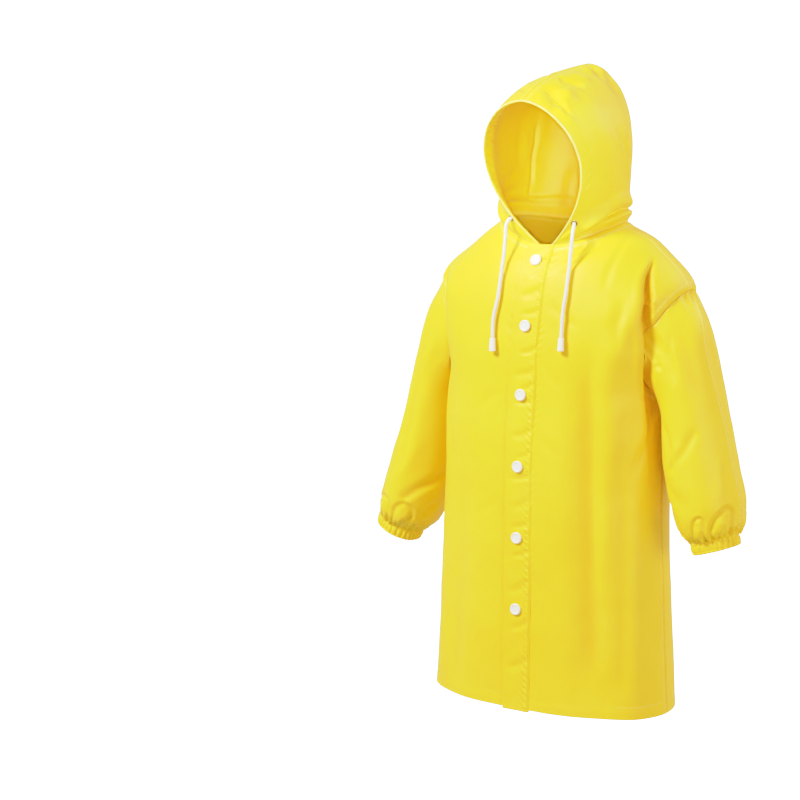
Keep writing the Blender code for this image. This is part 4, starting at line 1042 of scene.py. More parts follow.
def cloth_look():
    """Yellow coated cloth: soft gloss, faint weave, puckers, pale wear with painted highlight
    at seams and the hood's rim, and painted shade in creases.
    """
    look = Look(
        "coated_cloth",
        0.42,
        Specular_IOR_Level=0.30,
        Sheen_Weight=0.08,
        Sheen_Roughness=0.35,
        Subsurface_Weight=0.52,
        Subsurface_Radius=(1.0, 0.60, 0.10),
        Subsurface_Scale=0.0013,
    )
    patches = look.noise(0.16, 3.0)
    colour = look.ramp(patches, *zip((0.30, 0.52, 0.72), CLOTH_YELLOWS))
    wear_highlight_and_shade = look.node("ShaderNodeAttribute")
    wear_highlight_and_shade.attribute_name = "wear_highlight_and_shade"
    wear_highlight_and_shade = wear_highlight_and_shade.outputs["Fac"]
    streaks = look.noise(0.006, 3.0)
    # the attribute above 0 is pale wear and painted highlight, below 0 it is painted shade
    above = look.math("MAXIMUM", wear_highlight_and_shade, 0.0)
    below = look.math("MAXIMUM", look.math("MULTIPLY", wear_highlight_and_shade, -1.0), 0.0)
    colour = look.mix(below, colour, PAINTED_SHADE_ORANGE)
    colour = look.mix(look.math("MULTIPLY", above, look.math("ADD", streaks, 0.3)), colour, WEAR_AND_HIGHLIGHT_YELLOW)
    off, along = look.uv("seam")
    near = look.math("MULTIPLY", off, 1.0 / PUCKER_REACH)
    fade = look.math("POWER", math.e, look.math("MULTIPLY", look.math("MULTIPLY", near, near), -1.0))
    look.bump(look.math("MULTIPLY", look.sine(along, PUCKER_LENGTH), fade), 0.0002, 0.6)
    look.bump(look.noise(0.012, 3.0), 0.0008, 0.25)
    drawn = look.node("ShaderNodeVectorMath", _0=look.place, _1=(1.0, 1.0, 0.05))
    drawn.operation = "MULTIPLY"
    look.bump(look.noise(0.003, 2.0, drawn.outputs["Vector"]), 0.0003, 0.35)
    warp, weft = (look.sine(place, THREAD_PAIR) for place in look.uv("cloth"))
    look.bump(look.math("MULTIPLY", warp, weft), 0.00006, 0.35)
    return look.finish(colour, look.span(look.noise(0.03, 4.0), To_Min=0.36, To_Max=0.50))


def white_look(name, roughness, tint, grain, depth, **constants):
    """A white moulded or woven finish with a slight grain."""
    look = Look(name, roughness, **constants)
    pale = tuple(min(1.0, c * 1.02) for c in tint)
    dull = tuple(c * 0.93 for c in tint)
    colour = look.ramp(look.noise(grain * 4, 3.0), (0.3, dull), (0.65, pale))
    look.bump(look.noise(grain, 3.0), depth, 0.5)
    return look.finish(colour)


def eyelet_look():
    """Yellow lacquer over metal, a little worn on its edge."""
    look = Look("eyelet", 0.25, Specular_IOR_Level=0.6, Coat_Weight=0.5, Coat_Roughness=0.12)
    return look.mottled(0.0015, 4.0, (0.35, (0.62, 0.44, 0.03)), (0.60, (0.86, 0.68, 0.05)), 0.0008, 0.4)


def hole_shade_look():
    """A dark colour that paints the shade inside an eyelet's hole."""
    look = Look("eyelet_hole_painted_shade", 0.9)
    return look.mottled(0.001, 2.0, (0.3, (0.10, 0.045, 0.008)), (0.7, (0.17, 0.08, 0.014)), 0.0006, 0.4)


def thread_look():
    """Polyester sewing thread, a shade paler than the cloth."""
    look = Look("thread", 0.55, Sheen_Weight=0.3)
    return look.mottled(0.002, 2.0, (0.35, (0.86, 0.70, 0.05)), (0.65, (0.93, 0.80, 0.12)), 0.0004, 0.6)


STRAND_PAIR = 0.0022  # a strand of the braid and its gap, in metres
BRAID_WHITES_AND_GROOVE_SHADE = ((0.72, 0.69, 0.66), (0.90, 0.885, 0.87), (0.95, 0.94, 0.93))


def braid_look():
    """White braided cord, with painted shade in the grooves between its strands."""
    look = Look("cord_braid", 0.75, Sheen_Weight=0.25)
    round_it, along = look.uv("cloth")
    strands = (look.sine(look.math(way, round_it, along), STRAND_PAIR) for way in ("ADD", "SUBTRACT"))
    height = look.span(look.math("MULTIPLY", *strands), From_Min=-1.0)
    # the lower the braid's surface, the greyer: painted shade in the grooves
    colour = look.ramp(height, *zip((0.15, 0.45, 0.80), BRAID_WHITES_AND_GROOVE_SHADE))
    look.bump(height, 0.0004, 0.9)
    look.bump(look.noise(0.0005, 2.0), 0.0001, 0.5)
    return look.finish(colour)


# ------------------------------------------------------------------ meshes


def make_piece(name, points, faces, material, replaces=(), uvs=None):
    """A smooth mesh piece from points in millimetres, riding on the coat's body."""
    mesh = bpy.data.meshes.new(name)
    mesh.from_pydata((np.asarray(points) * MM).tolist(), [], faces)
    for key, values in (uvs or {}).items():
        layer = mesh.uv_layers.new(name=key)
        corner = np.empty(len(mesh.loops), dtype=np.int32)
        mesh.loops.foreach_get("vertex_index", corner)
        layer.data.foreach_set("uv", (np.asarray(values)[corner] * MM).astype(np.float32).ravel())
    mesh.materials.append(material)
    mesh.shade_smooth()
    piece = bpy.data.objects.new(name, mesh)
    bpy.context.scene.collection.objects.link(piece)
    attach(piece, BODY)
    if replaces:
        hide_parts(*replaces)
    return piece


def grid_faces(rows, columns, ring, start=0, flip=False):
    """Quads of a grid whose points start at an index."""
    last = columns if ring else columns - 1
    i, j = np.meshgrid(np.arange(rows - 1), np.arange(last), indexing="ij")
    k = (j + 1) % columns
    a, b = i * columns + j, i * columns + k
    c, d = (i + 1) * columns + k, (i + 1) * columns + j
    order = (d, c, b, a) if flip else (a, b, c, d)
    return (np.stack(order, axis=-1).reshape(-1, 4) + start).tolist()


def border(rows, columns, ring):
    """Indices round a grid's edge: one loop, or two for a ring."""
    top = np.arange(columns)
    low = (rows - 1) * columns + np.arange(columns)
    if ring:
        return [top[::-1], low]
    right = np.arange(1, rows - 1) * columns + columns - 1
    left = np.arange(1, rows - 1) * columns
    return [np.concatenate((low, right[::-1], top[::-1], left))]


def shell(name, outer, normals, material, slot, replaces, seam_uv, wear_highlight_and_shade=None, ring=False, thick=CLOTH):
    """A closed thin shell: a grid, its inner side, and a rounded edge between them."""
    rows, columns = outer.shape[:2]
    inner = outer - normals * thick
    size = rows * columns
    points = [outer.reshape(-1, 3), inner.reshape(-1, 3)]
    faces = grid_faces(rows, columns, ring)
    faces += grid_faces(rows, columns, ring, start=size, flip=True)
    flat_outer, flat_inner = points
    source = [np.arange(size), np.arange(size)]
    count = 2 * size
    for loop in border(rows, columns, ring):
        edge = 0.5 * (flat_outer[loop] + flat_inner[loop])
        ahead = np.roll(edge, -1, axis=0) - np.roll(edge, 1, axis=0)
        outward = unit(np.cross(ahead, flat_outer[loop] - flat_inner[loop]))
        beside = flat_outer[inward_neighbours(loop, rows, columns, ring)]
        sign = np.sign(((edge - beside) * outward).sum(axis=1, keepdims=True))
        sign[sign == 0] = 1
        points.append(edge + outward * sign * 0.45 * thick)
        source.append(loop)
        m = len(loop)
        for k in range(m):
            n = (k + 1) % m
            a, b = int(loop[k]), int(loop[n])
            p, q = count + k, count + n
            faces.append((b, a, p, q))
            faces.append((q, p, size + a, size + b))
        count += m
    points = np.concatenate(points)
    source = np.concatenate(source)
    uvs = {"cloth": cloth_uv(outer)[source], "seam": seam_uv.reshape(-1, 2)[source]}
    piece = make_piece(name, points, faces, material, replaces, uvs)
    layer = piece.data.attributes.new("wear_highlight_and_shade", "FLOAT", "POINT")
    if wear_highlight_and_shade is not None:
        layer.data.foreach_set("value", wear_highlight_and_shade.ravel()[source].astype(np.float32))
    work = bmesh.new()
    work.from_mesh(piece.data)
    bmesh.ops.recalc_face_normals(work, faces=work.faces)
    work.to_mesh(piece.data)
    work.free()
    return piece


def inward_neighbours(loop, rows, columns, ring):
    """For each edge point of a grid, the point one row or column further in."""
    i, j = loop // columns, loop % columns
    i = np.clip(i, 1, rows - 2)
    if not ring:
        j = np.clip(j, 1, columns - 2)
    return i * columns + j


def cloth_uv(grid):
    """Distances across and down a grid, for the weave."""
    across = np.zeros(grid.shape[:2])
    down = np.zeros(grid.shape[:2])
    across[:, 1:] = np.cumsum(np.linalg.norm(np.diff(grid, axis=1), axis=2), axis=1)
    down[1:] = np.cumsum(np.linalg.norm(np.diff(grid, axis=0), axis=2), axis=0)
    return np.stack((across, down), axis=-1).reshape(-1, 2)


def turned(name, profile, origin, axis, material, replaces=(), sides=48, ring=False):
    """A piece turned from (radius, height) pairs, smoothed along its profile."""
    z = unit(np.asarray(axis, float))
    x = unit(np.cross(z, (0.0, 1.0, 0.0) if abs(z[1]) < 0.9 else (1.0, 0.0, 0.0)))
    y = np.cross(z, x)
    angle = np.linspace(0, 2 * math.pi, sides, endpoint=False)
    points = []
    faces = []
    rows = []
    for radius, height in profile:
        if radius == 0:
            rows.append([len(points)] * sides)
            points.append(origin + z * height)
            continue
        rows.append(list(range(len(points), len(points) + sides)))
        points.extend(
            origin + z * height + radius * (math.cos(a) * x + math.sin(a) * y) for a in angle
        )
    pairs = list(zip(rows[:-1], rows[1:])) + ([(rows[-1], rows[0])] if ring else [])
    for low, high in pairs:
        for k in range(sides):
            m = (k + 1) % sides
            faces.append(tuple(dict.fromkeys((low[k], low[m], high[m], high[k]))))
    piece = make_piece(name, np.array(points), faces, material, replaces)
    piece.data.set_sharp_from_angle(angle=math.radians(60.0))
    return piece


def rounded(profile, radius=0.5, steps=4):
    """A profile with its inner corners rounded off."""
    result = [profile[0]]
    for before, corner, after in zip(profile[:-2], profile[1:-1], profile[2:]):
        b, c, a = (np.array(p, float) for p in (before, corner, after))
        reach = min(radius, 0.45 * np.linalg.norm(b - c), 0.45 * np.linalg.norm(a - c))
        start = c + (b - c) / max(np.linalg.norm(b - c), 1e-9) * reach
        end = c + (a - c) / max(np.linalg.norm(a - c), 1e-9) * reach
        for u in np.linspace(0, 1, steps + 1):
            point = start * (1 - u) ** 2 + c * 2 * u * (1 - u) + end * u**2
            result.append((float(max(point[0], 0.01)), float(point[1])))
    result.append(profile[-1])
    return result


# ------------------------------------------------------------------ grids of the panels

# Distances of the grid's first rows from a sewn edge and from the hem.
EDGE_STEPS = (0.0, 0.7, 1.6, 3.0, 4.6, 6.2, 7.4, 8.4, 9.8, 12.0)
HEM_STEPS = (0.0, 0.8, 2.0, 4.5, 8.0, 12.0, 15.5, 17.6, 18.8, 19.8, 21.0, 23.0)
NECK_LEVEL = 52.0  # length of the first level, at the neck
SKIRT_LEVEL = 183.0  # length of the last level, at the hem
SHOULDER_ROWS = 46
ARMHOLE_ROWS = 84
SKIRT_ROWS = 170
FRONT_COLUMNS = 60
BACK_COLUMNS = 84
FRONT_START = 12.0  # both fronts start this far to the wearer's left of the middle, under the band
BACK_LIMIT = 1.99999  # across values stop just short of the back middle


def spread(width, count, start_steps=EDGE_STEPS, end_steps=EDGE_STEPS):
    """Shares from 0 to 1 across rows of given widths, with set steps at both edges."""
    width = np.asarray(width, float)[:, None]
    start = np.array(start_steps)[None, :] / width
    end = 1.0 - np.array(end_steps)[None, ::-1] / width
    middle = np.linspace(0, 1, count + 2)[None, 1:-1]
    middle = start[:, -1:] + (end[:, :1] - start[:, -1:]) * middle
    return np.concatenate((start, middle, end), axis=1)


def torso_levels():
    """Levels of the panels' rows at the armhole's edge, and the same rows evenly spread."""
    neck = np.array(EDGE_STEPS) / NECK_LEVEL
    shoulder = np.linspace(neck[-1], SHOULDER_TIP, SHOULDER_ROWS)[1:]
    armhole = armhole_levels(ARMHOLE_ROWS)[1:]
    even = np.linspace(SHOULDER_TIP, UNDERARM, ARMHOLE_ROWS)[1:]
    hem = HEM - np.array(HEM_STEPS)[::-1] / SKIRT_LEVEL
    skirt = np.linspace(UNDERARM, hem[0], SKIRT_ROWS)[1:-1]
    return (
        np.concatenate((neck, shoulder, armhole, skirt, hem)),
        np.concatenate((neck, shoulder, even, skirt, hem)),
    )


def seam_line(read, first, second):
    """Points about 1 mm apart along a line on a surface."""
    line = read(first, second)
    return even_spacing(line, max(8, int(arc_lengths(line)[-1])))


def main_seams(torso):
    """The torso's seams, shared by the panels that meet in them."""
    seams = {}
    level = np.linspace(0, SHOULDER_TIP, 200)
    down = np.linspace(UNDERARM, HEM, 500)
    arm_level = armhole_levels(300)
    for side in (1, -1):
        seams["shoulder", side] = seam_line(torso.read, level, side + 0 * level)
        seams["side", side] = seam_line(torso.read, down, side + 0 * down)
        for back in (False, True):
            edge = side * armhole_across(arm_level, back)
            seams["armhole", side, back] = seam_line(torso.read, arm_level, edge)
    around = np.linspace(-1.999, 1.999, 1200)
    seams["neck"] = seam_line(torso.read, 0 * around, around)
    seams["hem"] = seam_line(torso.read, 0 * around + HEM, around)
    down = np.linspace(0.02, HEM, 800)
    seams["band"] = seam_line(torso.read, down, 20.0 / torso.girth(down))
    seams["band_edge"] = seam_line(torso.read, down, -21.0 / torso.girth(down))
    return seams


def torso_seams(lines, side, back):
    """What the seams do to one panel."""
    hem_row = (HEM_TURN - 0.8,)
    found = [
        Seam(lines["neck"], band=NECK_BAND, lift=0.7, rows=(1.6, 7.6), pucker=0.10),
        Seam(lines["hem"], band=HEM_TURN, lift=0.45, rows=hem_row, groove=0, pucker=0.28, period=9),
    ]
    loose = {"wear_and_highlight": 0, "reach": 6.5, "at": 2.0, "slant": 0.7}
    if side > 0:
        found.append(Seam(lines["band"], groove=0.1, pucker=0.40, period=10.5, **loose))
    if side < 0:
        loose.update(reach=7.0, at=3.0, slant=0.9)
        found.append(Seam(lines["band_edge"], groove=1.2, pucker=0.30, period=17.0, **loose))
    for half in (side,) if side else (1, -1):
        folded = half > 0 and not back
        armhole = {"band": SEAM_BAND, "lift": 0.7, "rows": (1.8, 8.9), "folded": folded, "joint_shade_width": 0.9}
        shoulder = {"band": 0} if back else {"band": SHOULDER_BAND, "rows": (5.2,)}
        flank = {"band": 0} if back else {"band": SIDE_BAND, "rows": (4.2,)}
        found.append(Seam(lines["armhole", half, back], **armhole))
        found.append(Seam(lines["shoulder", half], lift=0.8, pucker=0.25, wear_and_highlight=0.45, **shoulder))
        found.append(Seam(lines["side", half], lift=0.8, groove=2.4, pucker=0.25, joint_shade_width=2.2, **flank))
    return found


def front_shell(torso, lines, side, cloth):
    """One front panel; it runs on under the band."""
    edge_levels, even_levels = torso_levels()
    girth = torso.girth(even_levels)
    inner = side * FRONT_START / girth
    outer = armhole_across(edge_levels, False)
    share = spread((1.0 - inner) * girth, FRONT_COLUMNS)
    squeeze = np.clip((share - 0.5) / 0.5, 0.0, 1.0)
    across = inner[:, None] + (1.0 - inner)[:, None] * share - (1.0 - outer)[:, None] * squeeze
    bend = smooth_step((share - 0.1) / 0.9)
    level = even_levels[:, None] * (1.0 - bend) + edge_levels[:, None] * bend
    seams = torso_seams(lines, side, False)
    return panel(torso, "front_" + SIDE_WORDS[side], level, side * across, seams, cloth)


def back_shell(torso, lines, cloth):
    """The back panel, from one side seam to the other."""
    edge_levels, even_levels = torso_levels()
    girth = torso.girth(even_levels)
    outer = armhole_across(edge_levels, True)
    share = spread(2.0 * girth, BACK_COLUMNS)
    squeeze = np.clip(1.0 - share / 0.25, 0.0, 1.0) - np.clip((share - 0.75) / 0.25, 0.0, 1.0)
    around = 1.0 + 2.0 * share + (outer - 1.0)[:, None] * squeeze
    across = np.where(around <= 2.0, around, around - 4.0)
    across = np.clip(across, -BACK_LIMIT, BACK_LIMIT)
    bend = smooth_step(np.abs(2.0 * share - 1.0) * 1.25 - 0.25)
    level = even_levels[:, None] * (1.0 - bend) + edge_levels[:, None] * bend
    return panel(torso, "back", level, across, torso_seams(lines, 0, True), cloth)


def cloth_piece(name, points, normals, cloth, seam_uv, wear_highlight_and_shade=None, **more):
    """The shell that dresses one cloth node of the frame."""
    return shell(name + "_cloth", points, normals, cloth, "coated_cloth", (name,), seam_uv, wear_highlight_and_shade, **more)


def panel(torso, name, level, across, seams, cloth):
    """A panel of the torso, finished and made."""
    plain = torso.read(level, across)
    normals = torso.read(level, across, 1.0) - plain
    depth = crease_depth(plain, normals, TORSO_CREASES, torso.read)
    # recess sets the painted shade in the recess behind the fold's lip
    shown, recess = torso.beside_lip(level, across)
    points, seam_uv, wear_highlight_and_shade = dress(plain, normals, depth, seams, shown=shown, recess=recess)
    return cloth_piece(name, points, normals, cloth, seam_uv, wear_highlight_and_shade)


# Places across the front band, from the free edge on the wearer's right to the sewn one.
BAND_OFFSETS = np.array(
    (-20.0, -19.4, -18.6, -17.4, -15.5, -13.0, -10.0, -7.0, -4.0, -1.0, 2.0, 5.0, 8.0, 10.5, 13.0,
     14.8, 16.2, 17.2, 18.0, 18.8, 19.6, 20.6, 21.5)
)
BAND_SEWN = 15.6  # where it is stitched down
BAND_ROWS = 420
BAND_PUCKER = 9.6  # length of its puckers
BAND_SLANT = 0.9  # how far they lean
BAND_DRIFT = ((0.9, 21.0, 0.0), (0.7, 8.3, 0.0))
BAND_SWELL = ((0.35, 31.0, 0.0),)
BAND_CALM = (120.0, 180.0)  # they grow from this far down the band, over this length
DIP_REACH = 11.0  # how far the hollow round each snap spreads
RIM_RADIUS = 8.6  # the ring that a snap's rim presses into the band
BAND_THICK = 1.1


def band_shell(torso, cloth):
    """The front band: free at the wearer's right edge, sewn down at the left one."""
    first = np.array((0.0, 0.6, 1.6, 3.0)) / NECK_LEVEL
    middle = np.linspace(5.0 / NECK_LEVEL, HEM - 0.03, 400)
    levels = np.concatenate((first, middle, (HEM - 0.02, HEM - 0.01, HEM)))
    runs = arc_lengths(torso.read(levels, 0.06))
    heights = np.linspace(0, runs[-1], BAND_ROWS)
    levels = np.interp(heights, runs, levels)
    offsets = BAND_OFFSETS
    level = np.broadcast_to(levels[:, None], (len(levels), len(offsets)))
    across = offsets[None, :] / torso.girth(levels)[:, None]
    plain = torso.read(level, across)
    normals = torso.read(level, across, 1.0) - plain
    depth = crease_depth(plain, normals, BAND_CREASES, torso.read)
    slanted = heights[:, None] - BAND_SLANT * (offsets[None, :] - BAND_SEWN)
    wave = np.cos(2 * math.pi * slanted / BAND_PUCKER + drift(slanted, BAND_DRIFT))
    wave = wave * (0.65 + drift(slanted, BAND_SWELL))
    wave = wave * (0.45 + 0.55 * smooth_step((slanted - BAND_CALM[0]) / BAND_CALM[1]))
    inside = 0.80 * bell(offsets - BAND_SEWN, 1.9) + 0.38 * bell(offsets - 12.0, 5.5)
    lift = np.full(len(offsets), BAND_LIFT)
    lift = lift + 0.35 * bell(offsets - 18.2, 1.2) - 1.5 * smooth_step((offsets - 19.0) / 1.8)
    lift = lift - 0.35 * bell(offsets - BAND_SEWN, 0.8)
    lift = lift - 0.30 * bell(offsets + 16.6, 0.8) + 0.45 * bell(offsets + 19.0, 1.2)
    out = lift[None, :] + wave * inside[None, :] - depth * 1.7
    out = out + unevenness(plain, *BAND_UNEVENNESS)
    dips = np.zeros(out.shape)
    for height in SNAP_HEIGHTS:
        centre = torso.read(torso.level_at(height), 0.0)
        gap = np.linalg.norm(plain - centre, axis=2)
        dips += 0.5 * bell(gap, DIP_REACH) + 0.25 * bell(gap - RIM_RADIUS, 1.6)
    points = plain + normals * (out - dips)[..., None]
    drop = BAND_DROP * smooth_step((heights - heights[-1] + 30.0) / 30.0)
    points[..., 2] -= drop[:, None]
    seam_uv = np.zeros(points.shape[:2] + (2,))
    seam_uv[..., 0] = np.abs(offsets - BAND_SEWN)[None, :]
    seam_uv[..., 1] = heights[:, None]
    normals = surface_normals(points, True)
    return shell(
        "band_cloth", points, normals, cloth, "coated_cloth", ("placket",), seam_uv, thick=BAND_THICK
    )


# ------------------------------------------------------------------ sleeves and cuffs


SLEEVE_ROW_ENDS = ((0.05, 0.70, 84), (0.70, 1.0, 70))  # shares along it and numbers of rows
SLEEVE_COLUMN_COUNT = 62
FAN_RIBS = 30  # radial creases round the sleeve's end
SLOW_RIBS = 11
HEAD_GATHERS = 27
FAN_HEIGHT = 3.0
SLOW_HEIGHT = 1.0
HEAD_HEIGHT = 1.7


def sleeve_shell(torso, sleeve, back, cloth):
    """Half of a sleeve, overarm seam to underarm seam, gathered towards its cuff."""
    side = sleeve.side
    upper, lower = (np.linspace(*row) for row in SLEEVE_ROW_ENDS)
    share = np.concatenate((np.array(EDGE_STEPS) / sleeve.length, upper, lower[1:]))
    ring = arc_lengths(sleeve.read(0.5, np.linspace(0, 0.5, 120)))[-1]
    turn = 0.5 * spread(np.array([ring]), SLEEVE_COLUMN_COUNT)[0]
    if back:
        turn = 1.0 - turn
    share_grid, turn_grid = np.meshgrid(share, turn, indexing="ij")
    plain = sleeve.read(share_grid, turn_grid)
    normals = sleeve.read(share_grid, turn_grid, 1.0) - plain
    reach = smooth_step((share_grid - 0.78) / 0.22) ** 1.3
    angle = 2 * math.pi * turn_grid
    fan = np.cos(FAN_RIBS * angle + 1.2 * np.sin(3 * angle) + 0.8 * np.sin(7 * angle))
    fan = fan * (0.7 + 0.3 * np.sin(5 * angle + 1.0))
    wide = smooth_step((share_grid - 0.70) / 0.24) * (1 - 0.6 * reach)
    slow = np.cos(SLOW_RIBS * angle + 1.4 * np.sin(2 * angle + side) + 0.9 * np.sin(5 * angle))
    head = (1 - smooth_step(share_grid / 0.085)) * smooth_step(share_grid / 0.006)
    crown = bell(np.minimum(turn_grid, 1 - turn_grid), 0.11)
    gathers = np.cos(2 * math.pi * turn_grid * HEAD_GATHERS + 2.0 * np.sin(turn_grid * 31))
    out = FAN_HEIGHT * reach * fan + SLOW_HEIGHT * wide * slow + HEAD_HEIGHT * head * crown * gathers
    plain = plain + normals * out[..., None]
    overarm = {"band": 0} if back else {"band": SHOULDER_BAND, "rows": (5.0,)}
    lines = [
        Seam(sleeve.armhole_line, pucker=0.40, at=2.0),
        Seam(sleeve.over_line, lift=0.8, pucker=0.22, wear_and_highlight=0.45, **overarm),
        Seam(sleeve.under_line, pucker=0.22),
    ]
    depth = crease_depth(plain, normals, SLEEVE_CREASES[side], sleeve.read)
    depth = depth * smooth_step(share_grid / 0.025)
    near = 1.0 - smooth_step(share_grid / 0.14)
    depth = depth + near * crease_depth(plain, normals, TORSO_CREASES, torso.read)
    points, seam_uv, wear_highlight_and_shade = dress(plain, normals, depth, lines)
    normals = surface_normals(points, (side < 0) != back)
    name = f"sleeve_{SIDE_WORDS[side]}_" + ("back" if back else "front")
    return cloth_piece(name, points, normals, cloth, seam_uv, wear_highlight_and_shade)


def cuff_frame(side):
    """Centre, two half axes and the downward direction of a sleeve's end."""
    end = dict(zip(SLEEVE_COLUMNS, SLEEVE_ROWS[side][-1]))
    inside = np.array((side * end["inner_x"], 0, end["inner_z"]), float)
    outside = np.array((side * end["outer_x"], 0, end["outer_z"]), float)
    centre = 0.5 * (inside + outside) + (0, 0.5 * (end["back"] - end["front"]), 0)
    reach = 0.5 * (outside - inside)
    depth = np.array((0, -0.5 * (end["front"] + end["back"]), 0))
    down = unit(np.cross(reach, depth)) * side
    return centre, reach, depth, down


CUFF_PUFFS = 16
CUFF_STITCHING = (3.6, CUFF_HEIGHT - 3.4)  # heights of its two dimpled rows
CUFF_COLUMNS = 320


def cuff_shell(side, cloth):
    """A cuff gathered on elastic: puffed ribs of uneven width between two dimpled rows."""
    centre, reach, depth, down = cuff_frame(side)
    turn = np.linspace(0, 2 * math.pi, CUFF_COLUMNS, endpoint=False)
    middle = np.linspace(0.3, CUFF_HEIGHT - 0.3, 20)
    height = np.concatenate(((-4.0, -2.5, -1.2, -0.4), middle, (CUFF_HEIGHT,)))
    h, t = np.meshgrid(height, turn, indexing="ij")
    spoke = reach * np.cos(t)[..., None] + depth * np.sin(t)[..., None]
    length = np.linalg.norm(spoke, axis=2, keepdims=True)
    phase = CUFF_PUFFS * t + 0.5 * np.sin(2 * t + side) + 0.45 * np.sin(5 * t)
    phase = phase + 0.10 * np.sin(h / 3.0 + 4 * t)
    lobe = np.abs(np.sin(phase)) ** 0.75
    size = 0.75 + 0.25 * np.sin(3 * t + 0.7) + 0.15 * np.sin(8 * t)
    u = np.clip(h / CUFF_HEIGHT, 0, 1)
    puff = 0.55 + 0.45 * np.sin(math.pi * np.clip(u, 0.03, 0.97)) ** 0.6
    rows = sum(bell(h - row, 0.8) for row in CUFF_STITCHING)
    out = -1.5 + 3.2 * lobe * size * puff - 0.8 * rows * (0.4 + 0.6 * lobe)
    out = out - 1.2 * smooth_step((0.0 - h) / 1.0) - 0.5 * smooth_step((h - CUFF_HEIGHT + 1.0) / 1.0)
    drop = 0.25 * np.sin(phase * 2 + 0.6) * smooth_step((u - 0.7) / 0.3)
    points = centre + down * (h + drop)[..., None] + spoke * (1 + out[..., None] / length)
    wrapped = np.concatenate((points[:, -1:], points, points[:, :1]), axis=1)
    normals = surface_normals(wrapped, side < 0)[:, 1:-1]
    seam_uv = np.stack((np.full(h.shape, NO_SEAM), h), axis=-1)
    return cloth_piece("cuff_" + SIDE_WORDS[side], points, normals, cloth, seam_uv, ring=True)


# ------------------------------------------------------------------ hood


def hood_shell(torso, hood, cloth):
    """Half of the hood, from the rolled face edge to the centre seam."""
    side = hood.side
    back_length = arc_lengths(hood.read(np.linspace(0, 1, 200), 0.55))[-1]
    first = np.array((0.0, 0.7, 1.6, 2.8, 4.2, 6.0, 8.0, 10.0)) / back_length
    back = np.concatenate((first, np.linspace(12.0 / back_length, 1.0, 130)))
    up_length = arc_lengths(hood.read(0.5, np.linspace(0, 1, 200)))[-1]
    steps = np.array(EDGE_STEPS) / up_length
    up = np.concatenate((steps[:-1], np.linspace(steps[-1], 1 - steps[-1], 104), 1 - steps[-2::-1]))
    back_grid, up_grid = np.meshgrid(back, up, indexing="ij")
    plain = hood.read(back_grid, up_grid)
    normals = hood.read(back_grid, up_grid, 1.0) - plain
    centre = hood.read(np.linspace(0, 1, 500), 1.0) * (0, 1, 1)
    rear = hood.read(1.0, np.linspace(0, 1, 300)) * (0, 1, 1)
    ridge = np.concatenate((centre, rear[::-1]))
    foot = hood.read(np.linspace(0, 1, 500), 0.0)
    face = hood.read(0.0, np.linspace(0, 1, 400))
    lines = [
        Seam(even_spacing(ridge, 600), band=5.0, lift=0.4, rows=(4.2,), pucker=0.25),
        Seam(even_spacing(foot, 400), pucker=0.3, at=3.0, groove=0.4),
        Seam(even_spacing(face, 400), pucker=0.25, at=12.0, groove=0, period=8.0),
    ]
    depth = crease_depth(plain, normals, HOOD_CREASES[side], hood.read)
    points, seam_uv, wear_highlight_and_shade = dress(plain, normals, depth, lines, drape=0.8)
    away = back_grid * back_length
    roll = 1.3 * bell(away - 2.0, 1.6) - 0.4 * bell(away - 5.4, 1.3)
    points = points + normals * (roll - 0.8 * smooth_step((0.9 - away) / 0.9))[..., None]
    # the rolled face edge gets a pale painted highlight
    wear_highlight_and_shade = np.maximum(wear_highlight_and_shade, bell(away - 1.6, 1.9))
    tuck = points[:, :1] + (0.0, 0.0, -2.2) - normals[:, :1] * 1.6
    points = np.concatenate((tuck, points), axis=1)
    seam_uv, wear_highlight_and_shade = (np.concatenate((grid[:, :1], grid), axis=1) for grid in (seam_uv, wear_highlight_and_shade))
    points[..., 0] = side * np.maximum(side * points[..., 0], 0.0)
    normals = surface_normals(points, side > 0)
    return cloth_piece("hood_" + SIDE_WORDS[side], points, normals, cloth, seam_uv, wear_highlight_and_shade)


CASING_START = 1.4  # how far inside the hood's surface it begins
CASING_PUCKER = 11.5  # length of its puckers
CASING_SLANT = 11.0  # how far they lean across its width
CASING_DRIFT = ((1.1, 15.0, 0.0), (0.6, 6.1, 0.0))
CASING_SWELL = ((0.35, 22.0, 0.0),)


def casing_shell(hoods, cloth):
    """The turned-in band inside the face edge, puckered along its stitching."""
    halves = []
    ups = np.linspace(0.0, 1.0, 190)
    backs = np.linspace(0.006, CASING_BACK, 20)
    for side in (1, -1):
        hood = hoods[side]
        u, b = np.meshgrid(ups, backs, indexing="ij")
        plain = hood.read(b, u)
        normals = hood.read(b, u, 1.0) - plain
        run = arc_lengths(hood.read(0.05, ups))[:, None]
        across = (b - backs[0]) / (backs[-1] - backs[0])
        slanted = run + CASING_SLANT * across
        wave = np.sin(2 * math.pi * slanted / CASING_PUCKER + drift(run, CASING_DRIFT))
        wave = wave * (0.65 + drift(run, CASING_SWELL))
        hold = np.sin(math.pi * np.clip(across, 0.02, 0.98)) ** 0.5
        rise = CASING_RISE * smooth_step(across / 0.75)
        inward = CASING_START + rise + 0.95 * wave * hold - 0.5 * bell(across - 0.9, 0.05)
        fade = smooth_step(u / 0.05)
        grid = plain - normals * (CASING_START + (inward - CASING_START) * fade)[..., None]
        grid[..., 0] = side * np.maximum(side * grid[..., 0], 0.0)
        halves.append(grid)
    points = np.concatenate((halves[0][:-1], halves[1][::-1]))
    normals = -surface_normals(points, True)
    seam_uv = np.zeros(points.shape[:2] + (2,)) + (NO_SEAM, 0.0)
    return shell("casing_cloth", points, normals, cloth, "coated_cloth", ("hood_casing",), seam_uv)


# ------------------------------------------------------------------ small pieces


CORD_SIDES = 20
CORD_STEPS = 120


